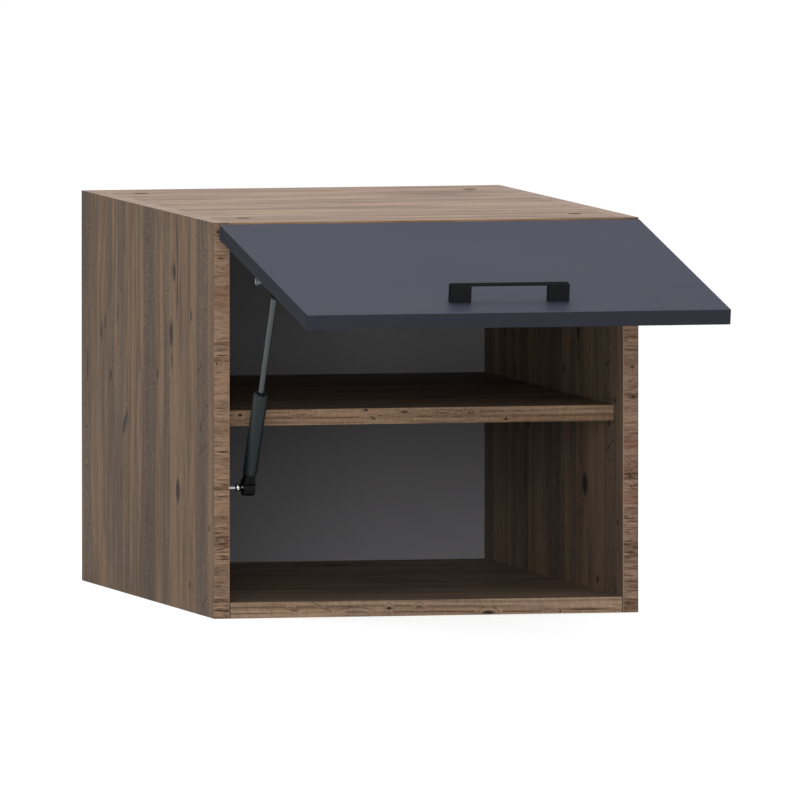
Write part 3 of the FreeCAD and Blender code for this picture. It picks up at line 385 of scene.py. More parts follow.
@dataclass(frozen=True)
class OakDecor(Finish):
    """Printed aged oak: strips, growth rings, fibres, pores, splits and knots on a matte board.

    Ring_step, drift and the sizes of the knots are in metres, and so are seam and end, the places of the
    butt joints and of the board's cut end. Strips is how many lie in a metre, and knots the share of the
    cells that hold one. Wander, knot_rings and swirl_rings say by how many rings the grain bends.
    """

    light: Colour
    middle: Colour
    grey: Colour
    dark: Colour
    along: Axis
    across: Axis
    seed: float = 0.0
    ring_share: float = 0.35
    ring_step: float = 0.016
    wander: float = 8.8
    drift: float = 0.012
    strips: float = 34.0
    splits: float = 1.0
    knots: float = 0.252
    knot_length: float = 0.16
    knot_width: float = 0.075
    knot_core: float = 0.008
    knot_rings: float = 2.6
    streaks: tuple[Streak, ...] = ()
    marks: tuple[Mark, ...] = ()
    swirl_reach: float = 3.2
    swirl_rings: float = 1.6
    # The colour of the splits and knots, and of the painted shade line along the sides' rear edges.
    scar_and_shade: Colour = linear(56, 52, 53)
    grain: float = 0.16
    seam: float | None = None
    end: float | None = None
    end_light: Colour = linear(186, 163, 148)
    end_dark: Colour = linear(160, 138, 124)
    roughness: float = 0.6
    specular: float = 0.05

    def find_knots(self, graph: Graph, along: Wire, across: Wire) -> tuple[Wire, Wire]:
        """Scatters soft knots over the board.

        Args:
            graph: The material's tree.
            along: The point's place along the board, shifted by the seed.
            across: Its place across the board, shifted too.

        Returns:
            How near a knot the point is, and how far inside its dark core.
        """
        cell = graph.point(along * (1 / self.knot_length), across * (1 / self.knot_width), self.seed)
        distance = graph.cells(cell)
        chance = graph.add("ShaderNodeSeparateColor", inputs={0: graph.cells(cell, "Color")})
        present = chance > (1.0 - self.knots)
        core = self.knot_core / self.knot_width
        return (
            distance.rise(core * 5.5, core * 0.6) * present,
            distance.rise(core * 1.25, core * 0.55) * present,
        )

    def paint(self, graph: Graph) -> None:
        """Builds the grain from noises with so many features a metre along, across and into the board.

        Args:
            graph: The material's tree.
        """
        axes = graph.axes()
        real_along, real_across = axes[self.along.value], axes[self.across.value]
        along, across = real_along + self.seed * SEED_STEPS[0], real_across + self.seed * SEED_STEPS[1]
        depth = axes[3 - self.along.value - self.across.value] + self.seed * SEED_STEPS[2]
        near, core = self.find_knots(graph, along, across)

        slow = graph.grain(along * 1.7, across * 7.0, depth * 7.0)
        drift = (slow - 0.5) * self.drift
        line = across + drift
        fray = graph.grain(along * 14.0, across * 240.0, depth * 200.0)
        strips = graph.grain(along * 3.6, line * self.strips, depth * 10.0, 4.0, 0.8)
        hue = graph.grain(along * 3.0 + 5.2, line * self.strips * 0.8, depth * 8.0, 3.0, 0.6)
        fibres = graph.grain(along * 9.0, line * 260.0, depth * 260.0, 4.0, 0.75)
        pores = graph.grain(along * 55.0, across * 1300.0, depth * 900.0, 1.0).rise(0.60, 0.72)
        torn = graph.grain(along * 9.0, across * 95.0, depth * 60.0 + 3.7, 2.0, 0.55)
        flecks = graph.grain(along * 260.0, across * 130.0, depth * 90.0).rise(0.52, 0.7)
        hatch = graph.grain(along * 420.0, across * 170.0, depth * 170.0, 2.0, 0.6)

        spots = torn.rise(0.68, 0.75) * self.splits
        contour = across * (1 / self.ring_step) + slow * self.wander + near * self.knot_rings
        if self.marks:
            ragged = (fray - 0.5) * 1.2
            dark_marks, swirl = brush(self.marks, real_along, real_across, ragged, self.swirl_reach)
            contour = contour + swirl * self.swirl_rings
            spots = spots.at_least(dark_marks)
        rings = ((contour * math.tau + fray * 1.8).sine() * 0.5 + 0.5) ** 2.4
        belt = hue.rise(0.5, 0.68) * 0.7
        mottle = hatch.rise(0.62, 0.36) * 0.45 + fibres.rise(0.6, 0.4) * 0.3 + 0.4
        for streak in self.streaks:
            belt = belt.at_least(streak.cover(real_across + drift, mottle))

        tone = strips.rise(0.38, 0.62) * 0.6 + fibres.rise(0.36, 0.64) * 0.4
        colour = graph.mix(tone, self.middle, self.light)
        colour = graph.mix(belt, colour, self.grey)
        colour = graph.mix(rings * self.ring_share * strips.rise(0.75, 0.35), colour, self.dark)
        # The marks darken towards the scar colour; on the sides one of them is painted shade along the rear
        # edge.
        colour = graph.mix(spots * 0.92, colour, self.scar_and_shade)
        shade = (1.0 - pores * 0.24) * (1.0 - core * 0.72) * (1.0 - near * 0.2)
        shade = shade * (1.0 + (hatch - 0.5) * self.grain)
        if self.seam is not None:
            shade = shade * (1.0 - real_along.size().rise(self.seam - 0.0012, self.seam - 0.0006) * 0.8)
        colour = graph.shade(colour, shade * (1.0 - flecks * belt * 0.32))
        if self.end is not None:
            cap = graph.mix(strips.rise(0.36, 0.64), self.end_dark, self.end_light)
            colour = graph.mix(real_along.rise(self.end - 0.0004, self.end - 0.0001), colour, cap)

        height = 1.0 - (pores * 0.5 + spots * 0.9 + core * 0.6).at_most(1.0) + fibres * 0.25
        graph.surface(
            Base_Color=colour,
            Roughness=self.roughness + pores * 0.12 + spots * 0.1 - strips * 0.06,
            Normal=graph.bump(height, 0.00012, 0.55),
            Specular_IOR_Level=self.specular,
        )


@dataclass(frozen=True)
class OakStrip(Finish):
    """The decor strip of the sides, whose fine uneven lines run across it."""

    light: Colour
    middle: Colour
    dark: Colour
    red: Colour
    # The colour of the painted highlight along the strips' inner edges.
    arris_highlight: Colour
    seed: float
    marks: tuple[Mark, ...]
    swirl_reach: float = 4.0
    swirl_rise: float = 0.0024
    inner_edge: float = 0.2054
    outer_edge: float = 0.2194
    painted_edge_width: float = 0.0006
    roughness: float = 0.6
    specular: float = 0.05

    def paint(self, graph: Graph) -> None:
        """Builds fine lines along X that are dense in some places, bend round marks and crack, then paints a
        highlight along both strips' inner edges and shade along the right strip's outer edge.

        Args:
            graph: The material's tree.
        """
        x, _, height = graph.axes()
        bend = graph.grain(x * 50.0, self.seed, height * 24.0)
        fray = graph.grain(x * 260.0, self.seed + 1.0, height * 500.0) - 0.5
        dark_marks, swirl = brush(self.marks, x, height, fray * 1.2, self.swirl_reach)
        line = height + (bend - 0.5) * 0.0032 + swirl * self.swirl_rise
        thin = graph.grain(x * 46.0, self.seed, line * 620.0, 3.0, 0.75)
        broad = graph.grain(x * 8.0, self.seed + 2.0, line * 120.0, 3.0, 0.6)
        zone = graph.grain(self.seed, 4.0, height * 21.0, 1.0)
        warm = graph.grain(x * 22.0, self.seed + 6.0, height * 46.0)
        torn = graph.grain(x * 70.0, self.seed + 9.0, line * 400.0, 2.0, 0.55)
        cracks = (torn.rise(0.60, 0.72) * zone.rise(0.45, 0.65) * 0.55).at_least(dark_marks)

        colour = graph.mix(broad.rise(0.3, 0.62), self.middle, self.light)
        colour = graph.mix(warm.rise(0.5, 0.78) * 0.6, colour, self.red)
        lines = thin.rise(0.54, 0.40) * (0.45 + zone.rise(0.35, 0.7) * 0.45)
        colour = graph.mix(lines, colour, self.dark)
        # Painted highlight: both strips are lighter along their inner edges, in the arris colour.
        inner = x.size().rise(self.inner_edge, self.inner_edge - self.painted_edge_width)
        colour = graph.mix(inner * 0.5, colour, self.arris_highlight)
        # Painted shade: the right strip is darker along its outer edge, in the colour of its dark lines.
        outer = x.rise(self.outer_edge - self.painted_edge_width, self.outer_edge)
        colour = graph.mix(outer * 0.45, colour, self.dark)
        relief = 1.0 - (cracks + lines * 0.4).at_most(1.0)
        graph.surface(
            Base_Color=graph.shade(colour, (1.0 - cracks * 0.76) * (1.0 + fray * 0.5)),
            Roughness=self.roughness + lines * 0.1,
            Normal=graph.bump(relief, 0.0001, 0.5),
            Specular_IOR_Level=self.specular,
        )


@dataclass(frozen=True)
class SatinBoard(Finish):
    """A plain lacquered or foiled board with a faint mottle and a fine embossed skin.

    With an arris highlight colour, the flap's edges are painted lighter where they meet its outer face, a
    painted highlight.
    """

    colour: Colour
    roughness: float = 0.5
    mottle: float = 0.08
    specular: float = 0.4
    arris_highlight: Colour | None = None

    def paint(self, graph: Graph) -> None:
        """Builds the mottle, the handling marks, the embossing and, with an arris highlight colour, a
        painted highlight along the flap's outer arris.

        Args:
            graph: The material's tree.
        """
        place = graph.place()
        cloud = graph.noise(place, 5.0, 3.0)
        fine = graph.noise(place, 900.0, 2.0)
        handled = graph.noise(place, 28.0, 4.0, 0.62).rise(0.58, 0.8)
        factor = 1.0 + (cloud - 0.5) * self.mottle + (fine - 0.5) * (self.mottle * 0.7)
        colour = self.colour
        # Painted highlight: the edge band is lighter within about a millimetre of the outer face.
        if self.arris_highlight is not None:
            _, y, z = graph.axes()
            out = (z - FLAP_PIVOT.z) * math.sin(OPEN_ANGLE) - (y - FLAP_PIVOT.y) * math.cos(OPEN_ANGLE)
            colour = graph.mix(out.rise(0.0007, 0.0013), self.colour, self.arris_highlight)
        graph.surface(
            Base_Color=graph.shade(colour, factor),
            Roughness=self.roughness + (cloud - 0.5) * 0.08 + handled * 0.06,
            Normal=graph.bump(fine, 0.00004, 0.5),
            Specular_IOR_Level=self.specular,
        )


@dataclass(frozen=True)
class Steel(Finish):
    """Drawn, ground or plated steel with fine lines along one axis and dull patches."""

    colour: Colour
    roughness: float = 0.3
    along: Axis = Axis.Z
    lines: float = 0.05
    stains: float = 0.10

    def paint(self, graph: Graph) -> None:
        """Builds the drawing lines and the stains.

        Args:
            graph: The material's tree.
        """
        scale = [2600.0, 2600.0, 2600.0]
        scale[self.along.value] = 60.0
        drawn = graph.grain(*(axis * size for axis, size in zip(graph.axes(), scale)))
        patch = graph.noise(graph.place(), 90.0, 3.0, 0.6)
        factor = 1.0 + (drawn - 0.5) * self.lines * 2 - patch.rise(0.5, 0.8) * self.stains
        graph.surface(
            Base_Color=graph.shade(self.colour, factor),
            Metallic=1.0,
            Roughness=self.roughness + (drawn - 0.5) * 0.12 + patch.rise(0.5, 0.85) * 0.14,
            Normal=graph.bump(drawn, 0.00002, 0.35),
        )


@dataclass(frozen=True)
class Moulded(Finish):
    """Moulded plastic or rubber with a fine spark-eroded grain and faint flow marks."""

    colour: Colour
    roughness: float = 0.4
    specular: float = 0.5
    grain: float = 0.00003

    def paint(self, graph: Graph) -> None:
        """Builds the grain and the flow marks.

        Args:
            graph: The material's tree.
        """
        place = graph.place()
        grain = graph.noise(place, 2200.0, 2.0)
        flow = graph.noise(place, 60.0, 2.0)
        graph.surface(
            Base_Color=graph.shade(self.colour, 0.92 + flow * 0.16),
            Roughness=self.roughness + (flow - 0.5) * 0.1 + (grain - 0.5) * 0.08,
            Normal=graph.bump(grain, self.grain, 0.5),
            Specular_IOR_Level=self.specular,
        )


@dataclass(frozen=True)
class Coated(Finish):
    """Lacquer or powder coat on metal, with its fine orange-peel skin and rubbed places."""

    colour: Colour
    rubbed: Colour
    roughness: float
    specular: float
    peel: float = 0.00004
    peel_scale: float = 700.0

    def paint(self, graph: Graph) -> None:
        """Builds the skin and the rubbed places.

        Args:
            graph: The material's tree.
        """
        place = graph.place()
        peel = graph.noise(place, self.peel_scale, 2.0)
        rub = graph.noise(place, 130.0, 4.0, 0.65).rise(0.56, 0.78)
        graph.surface(
            Base_Color=graph.mix(rub * 0.5, self.colour, self.rubbed),
            Roughness=self.roughness - rub * 0.08 + (peel - 0.5) * 0.12,
            Normal=graph.bump(peel, self.peel, 0.6),
            Specular_IOR_Level=self.specular,
        )


@dataclass(frozen=True)
class RawWood(Finish):
    """Turned beech with short rays."""

    colour: Colour
    dark: Colour

    def paint(self, graph: Graph) -> None:
        """Builds the rays and fibres.

        Args:
            graph: The material's tree.
        """
        x, y, z = graph.axes()
        rays = graph.grain(x * 160.0, y * 1200.0, z * 1200.0)
        fibres = graph.grain(x * 30.0, y * 500.0, z * 500.0, 3.0)
        colour = graph.mix(rays.rise(0.5, 0.7) * 0.6 + fibres * 0.3, self.colour, self.dark)
        relief = graph.bump(fibres, 0.00008, 0.5)
        graph.surface(Base_Color=colour, Roughness=0.7 + fibres * 0.1, Normal=relief)


# The axes along and across the print of the sides, the level boards and the front edges.
SIDEWALL = (Axis.Z, Axis.Y)
LEVEL = (Axis.X, Axis.Y)
FRONT_EDGE = (Axis.X, Axis.Z)

SIDE_STREAKS = (
    Streak(-0.314, 0.054, 1.0),
    Streak(-0.556, 0.054, 0.8),
    Streak(-0.395, 0.028, 0.6),
    Streak(-0.182, 0.030, 0.7),
    Streak(-0.133, 0.022, 0.5),
    Streak(-0.028, 0.036, 0.9),
)

# Each row is along, across, length, width, lean and depth. On the strips of the sides, along is X.
SIDE_MARKS = marks_from(
    (0.3405, -0.431, 0.026, 0.019), (0.3, -0.506, 0.018, 0.012), (0.2765, -0.416, 0.038, 0.019),
    (0.25, -0.418, 0.022, 0.011, 0.0, 0.7), (0.232, -0.354, 0.016, 0.01), (0.219, -0.139, 0.016, 0.011),
    (0.272, -0.113, 0.024, 0.013, 0.0, 0.8), (0.26, -0.096, 0.024, 0.012, 0.0, 0.8),
    (0.283, -0.17, 0.026, 0.01, 0.0, 0.7), (0.175, -0.205, 0.034, 0.02, -0.014, 0.9),
    (0.249, -0.545, 0.016, 0.009, -0.016, 0.8), (0.213, -0.577, 0.006, 0.013),
    (0.199, -0.565, 0.012, 0.009, -0.01, 0.6), (0.189, -0.551, 0.016, 0.01), (0.12, -0.446, 0.031, 0.028),
    (0.112, -0.186, 0.06, 0.009, 0.0, 0.7), (0.166, -0.554, 0.018, 0.008, -0.02, 0.8),
    (0.09, -0.588, 0.01, 0.009), (0.027, -0.5, 0.013, 0.011), (0.014, -0.566, 0.018, 0.008, -0.022, 0.8),
    # The last mark is painted shade: a long dark line along the rear edge of both sides.
    (0.2, 0.0, 2.0, 0.018, 0.0, 0.8),
)
STRIP_MARKS = marks_from(
    (-0.2156, 0.3905, 0.005, 0.0056), (-0.213, 0.3637, 0.011, 0.0014),
    (-0.211, 0.354, 0.009, 0.004, 0.0, 0.4), (-0.212, 0.266, 0.02, 0.0018, -0.0004),
    (-0.2172, 0.2568, 0.0024, 0.0022), (-0.2129, 0.2568, 0.0022, 0.002),
    (-0.2162, 0.2487, 0.0022, 0.0022), (-0.2131, 0.2487, 0.0026, 0.002),
    (-0.212, 0.1687, 0.02, 0.002, -0.0006), (-0.212, 0.124, 0.02, 0.0014, 0.0003),
    (-0.2165, 0.0785, 0.0026, 0.0026), (-0.212, 0.037, 0.02, 0.0012), (0.215, 0.218, 0.007, 0.0034),
    (0.214, 0.248, 0.005, 0.0044, 0.0, 0.8), (0.211, 0.234, 0.007, 0.0034, 0.0, 0.6),
    (0.2105, 0.15, 0.0024, 0.0024), (0.213, 0.144, 0.0022, 0.0024), (0.2112, 0.137, 0.0026, 0.0022),
    (0.2128, 0.129, 0.0026, 0.0028), (0.212, 0.106, 0.02, 0.0018), (0.212, 0.095, 0.018, 0.0016),
    (0.212, 0.037, 0.021, 0.0016),
)
SHELF_MARKS = marks_from(
    (-0.1842, 0.2032, 0.006, 0.0056), (-0.197, 0.2028, 0.016, 0.002, 0.0, 0.6),
    (-0.12, 0.203, 0.012, 0.0034, 0.0, 0.15), (-0.0383, 0.2085, 0.031, 0.006, 0.0, 0.0),
    (-0.0539, 0.2062, 0.007, 0.0034), (-0.047, 0.1985, 0.008, 0.003, -0.002, 0.8),
    (-0.039, 0.2005, 0.008, 0.0026, 0.0, 0.6), (-0.0139, 0.204, 0.015, 0.0046),
    (0.026, 0.203, 0.014, 0.0034, 0.0, 0.4), (0.055, 0.201, 0.009, 0.0046, 0.0, 0.25),
    (0.0916, 0.1946, 0.004, 0.0044), (0.1045, 0.204, 0.012, 0.002, 0.0, 0.5),
)
BOTTOM_MARKS = marks_from(
    (-0.138, 0.0074, 0.011, 0.003, -0.0016, 0.6), (-0.107, 0.0094, 0.024, 0.0018, -0.006, 0.7),
    (-0.074, 0.0046, 0.034, 0.0034, 0.0, 0.5), (-0.0386, 0.0081, 0.007, 0.0044),
    (-0.0077, 0.009, 0.01, 0.0034, 0.0, 0.8), (0.0642, 0.0024, 0.018, 0.004),
    (0.139, 0.0022, 0.004, 0.0028), (0.165, 0.0043, 0.056, 0.0034, 0.0, 0.6),
)

SIDE_OAK = OakDecor(
    "oak_decor_left_side",
    linear(156, 128, 102),
    linear(110, 90, 73),
    linear(95, 82, 72),
    linear(66, 53, 45),
    *SIDEWALL,
    seed=1.3,
    knots=0.084,
    streaks=SIDE_STREAKS,
    marks=SIDE_MARKS,
    grain=0.5,
    end=0.4,
)
RIGHT_OAK = replace(
    SIDE_OAK,
    name="oak_decor_right_side",
    light=linear(162, 139, 116),
    middle=linear(130, 112, 94),
    grey=linear(114, 101, 90),
    seed=7.7,
    grain=0.16,
)
CROSS_OAK = OakDecor(
    "oak_decor_cross_panels",
    linear(174, 152, 131),
    linear(142, 124, 107),
    linear(128, 114, 102),
    linear(66, 53, 45),
    *LEVEL,
    seed=2.1,
)
SHELF_OAK = replace(
    CROSS_OAK,
    name="oak_decor_shelf",
    light=linear(152, 132, 112),
    middle=linear(118, 103, 90),
    grey=linear(104, 94, 86),
    seed=5.6,
)
# The top's decor is pinker than the sides' own, and its colours are also painted lighter to stand in for the
# light from above.
TOP_OAK = OakDecor(
    "oak_decor_top",
    linear(199, 171, 150),
    linear(146, 124, 110),
    linear(134, 119, 113),
    linear(98, 80, 70),
    *LEVEL,
    seed=4.2,
    ring_share=0.45,
    splits=0.35,
    knots=0.126,
)
SIDE_BAND_OAK = OakStrip(
    "oak_strip_sides",
    light=linear(176, 145, 121),
    middle=linear(142, 115, 94),
    dark=linear(76, 56, 43),
    red=linear(150, 110, 86),
    # The arris colour is a painted highlight along the strips' inner edges.
    arris_highlight=linear(196, 160, 130),
    seed=3.4,
    marks=STRIP_MARKS,
)
SHELF_BAND_OAK = OakDecor(
    "oak_band_shelf",
    linear(184, 153, 124),
    linear(146, 118, 95),
    linear(132, 106, 87),
    linear(86, 62, 46),
    *FRONT_EDGE,
    seed=6.3,
    ring_share=0.7,
    ring_step=0.006,
    wander=4.4,
    strips=170.0,
    splits=0.6,
    knots=0.0,
    marks=SHELF_MARKS,
    swirl_reach=5.5,
    swirl_rings=3.4,
    scar_and_shade=linear(48, 34, 27),
    grain=0.7,
)
BOTTOM_BAND_OAK = replace(
    SHELF_BAND_OAK,
    name="oak_band_bottom",
    light=linear(200, 170, 142),
    middle=linear(164, 136, 113),
    grey=linear(150, 124, 104),
    seed=9.2,
    marks=BOTTOM_MARKS,
    swirl_reach=3.6,
    swirl_rings=1.8,
    seam=0.204,
)
TOP_BAND_OAK = OakDecor(
    "oak_band_top",
    linear(204, 164, 126),
    linear(150, 112, 82),
    linear(120, 88, 64),
    linear(64, 44, 32),
    *FRONT_EDGE,
    seed=8.1,
    strips=90.0,
    knots=0.126,
)
DOOR_BOARD = SatinBoard("door_board_blue_grey", linear(64, 67, 82), specular=0.04)
# The door edge's arris colour is a painted highlight along the flap's outer arris.
DOOR_EDGE = SatinBoard("door_edge_blue_grey", linear(56, 59, 67), specular=0.004, arris_highlight=linear(90, 94, 106))
BACK_BOARD = SatinBoard("back_board_grey", linear(148, 147, 151), 0.62, 0.22, 0.1)
BEECH = RawWood("raw_beech", linear(206, 172, 128), linear(168, 128, 86))
ZINC = Steel("zinc_plated_steel", linear(184, 184, 182), 0.38, Axis.Z, 0.06, 0.22)
NICKEL = Steel("nickel_plated_steel", linear(205, 204, 200), 0.22, Axis.Y)
STUD_STEEL = Steel("polished_stud_steel", linear(176, 177, 178), 0.14, Axis.X)
SHEET = Steel("brushed_sheet_steel", linear(98, 101, 100), 0.5, Axis.Z, 0.12, 0.12)
DULL_STUD = Steel("dull_stud_steel", linear(110, 112, 112), 0.42, Axis.X)
ROD_STEEL = Steel("ground_rod_steel", linear(76, 79, 80), 0.26, stains=0.05)
BLACK_TUBE = Coated("black_lacquered_tube", linear(26, 36, 38), linear(44, 54, 55), 0.36, 0.25)
BLACK_HANDLE = Coated("black_powder_coat", linear(39, 40, 42), linear(46, 47, 49), 0.7, 0.0, 0.00005, 1100.0)
# The cams' very dark brown is partly their own browned finish and partly painted shade of the recesses they
# sit in.
CAM_BROWN_AND_SHADE = Coated("browned_cam_metal", linear(22, 16, 13), linear(48, 37, 29), 0.66, 0.0)
BLACK_PLASTIC = Moulded("black_glossy_plastic", linear(7, 7, 8), 0.24, 0.10)
SEAL = Moulded("black_seal_rubber", linear(26, 26, 27), 0.7)
GREY_PLASTIC = Moulded("light_grey_plastic", linear(196, 196, 193), 0.45)
SILICONE = Moulded("clear_silicone", linear(196, 199, 202), 0.3)

# The CAD nodes that stay in sight, by their finish.
KEPT_NODES: dict[Finish, tuple[str, ...]] = {
    SIDE_OAK: ("side_panel_left",),
    RIGHT_OAK: ("side_panel_right",),
    TOP_OAK: ("top_panel",),
    CROSS_OAK: ("bottom_panel",),
    SHELF_OAK: ("shelf",),
    BACK_BOARD: ("back_panel",),
    DOOR_BOARD: ("door_panel",),
    BEECH: ("wooden_dowels",),
    ZINC: ("cam_bolts", "hanger_hook_left", "hanger_hook_right"),
    GREY_PLASTIC: ("hanger_housing_left", "hanger_housing_right"),
    NICKEL: (
        "shelf_supports",
        "hinge_mounting_plate_left",
        "hinge_mounting_plate_right",
        "hinge_arm_left",
        "hinge_arm_right",
        "hinge_arm_rivets",
        "hinge_cup_left",
        "hinge_cup_right",
        "hinge_cup_pin_left",
        "hinge_cup_pin_right",
        "hinge_link_left",
        "hinge_link_right",
        "strut_upper_ball",
    ),
    SHEET: ("strut_bracket",),
    STUD_STEEL: ("strut_lower_ball_stud",),
    DULL_STUD: ("strut_upper_stud",),
    BLACK_PLASTIC: ("strut_lower_socket", "strut_upper_socket", "strut_piston"),
    SEAL: ("strut_rod_guide",),
    SILICONE: ("door_stops",),
}


def dress(piece: bpy.types.Object, finish: Finish) -> None:
    """Gives every material slot of a piece one finish.

    Args:
        piece: The object to dress.
        finish: What it is dressed in.
    """
    material = finish.material()
    if not piece.material_slots:
        piece.data.materials.append(material)
    for slot in piece.material_slots:
        slot.link = "OBJECT"
        slot.material = material


def new_object(name: str, data: bpy.types.Mesh | bpy.types.Light | bpy.types.Camera) -> bpy.types.Object:
    """Puts a mesh, a lamp or a camera into the scene, at the origin.

    Args:
        name: The object's name.
        data: What it holds. A mesh has its place in its vertices.

    Returns:
        The new object.
    """
    added = bpy.data.objects.new(name, data)
    bpy.context.scene.collection.objects.link(added)
    return added


def new_piece(name: str, shape: bmesh.types.BMesh, smooth_angle: float = 35.0) -> bpy.types.Object:
    """Makes an object at the origin from a finished shape.

    Args:
        name: The object's name.
        shape: Its shape, which is freed.
        smooth_angle: Edges that turn by less than this many degrees are shaded smooth.

    Returns:
        The new object.
    """
    bmesh.ops.recalc_face_normals(shape, faces=shape.faces)
    for face in shape.faces:
        face.smooth = True
    for edge in shape.edges:
        edge.smooth = edge.calc_face_angle(0.0) < math.radians(smooth_angle)
    mesh = bpy.data.meshes.new(name)
    shape.to_mesh(mesh)
    shape.free()
    return new_object(name, mesh)


def settle(piece: bpy.types.Object, body: str, finish: Finish, node: str) -> None:
    """Dresses a new piece, puts it on its body and lets it stand for its CAD node.

    Args:
        piece: The finished object.
        body: The body that it moves with.
        finish: Its finish.
        node: The node that it stands for.
    """
    dress(piece, finish)
    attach(piece, body)
    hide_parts(node)
    LOG.info("piece %s on %s, %d faces", piece.name, body, len(piece.data.polygons))


def on_flap(point: Vector) -> Vector:
    """Moves a point that is given with the flap shut to where the open flap has it."""
    return FLAP_PIVOT + Matrix.Rotation(-OPEN_ANGLE, 3, "X") @ (point - FLAP_PIVOT)


def rounded_strip(low: Vector, high: Vector, radius: float, across: Axis) -> bmesh.types.BMesh:
    """A flat strip with its two long front edges rounded.

    Args:
        low: Its lowest corner.
        high: Its highest corner.
        radius: The rounding.
        across: The axis of its width.

    Returns:
        The strip as a mesh.
    """
    shape = bmesh.new()
    bmesh.ops.create_cube(shape, size=2.0)
    chosen = []
    for edge in shape.edges:
        middle = (edge.verts[0].co + edge.verts[1].co) / 2
        if middle.y < -0.5 and abs(middle[across.value]) > 0.5:
            chosen.append(edge)
    middle, half = (low + high) / 2, (high - low) / 2
    for vertex in shape.verts:
        vertex.co = Vector(m + h * c for m, h, c in zip(middle, half, vertex.co))
    bmesh.ops.bevel(shape, geom=chosen, offset=radius, segments=3, profile=0.5, affect="EDGES")
    return shape


def lathe(profile: Profile, start: Vector, direction: Vector, steps: int = 64) -> bmesh.types.BMesh:
    """A turned solid.

    Args:
        profile: Radius and height pairs from the foot to the top. The ends close on the axis.
        start: Where height nought is.
        direction: The axis.
        steps: How many faces go round.

    Returns:
        The solid as a mesh.
    """
    shape = bmesh.new()
    turn = direction.to_track_quat("Z", "Y").to_matrix()
    rows = []
    for radius, height in profile:
        row = []
        for step in range(steps if radius > 0.0 else 1):
            angle = math.tau * step / steps
            place = Vector((radius * math.cos(angle), radius * math.sin(angle), height))
            row.append(shape.verts.new(start + turn @ place))
        rows.append(row)
    for below, above in zip(rows, rows[1:]):
        for step in range(steps):
            following = (step + 1) % steps
            corners = [below[step % len(below)], below[following % len(below)]]
            corners += [above[following % len(above)], above[step % len(above)]]
            unique = list(dict.fromkeys(corners))
            if len(unique) > 2:
                shape.faces.new(unique)
    return shape


@dataclass
class EdgeBands:
    """The thin decor strips on the front edges of the carcass boards."""

    rounding: float = 0.0004

    def build(self) -> None:
        """Makes each strip with softly rounded front edges."""
        strips = {
            "side_edge_band_left": (SIDE_BAND_OAK, Axis.X),
            "side_edge_band_right": (SIDE_BAND_OAK, Axis.X),
            "top_edge_band": (TOP_BAND_OAK, Axis.Z),
            "bottom_edge_band": (BOTTOM_BAND_OAK, Axis.Z),
            "shelf_edge_band": (SHELF_BAND_OAK, Axis.Z),
        }
        for node, (finish, across) in strips.items():
            shape = rounded_strip(*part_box(node), self.rounding, across)
            settle(new_piece(node + "_rounded", shape), CARCASS, finish, node)


@dataclass(frozen=True)
class ScrewSize:
    """The sizes of one kind of screw. A sunk head narrows to the shank and ends flush."""

    head_radius: float
    head_height: float
    shank_radius: float
    length: float
    sunk: bool = False
    slot_width: float = 0.0009
    slot_depth: float = 0.0013


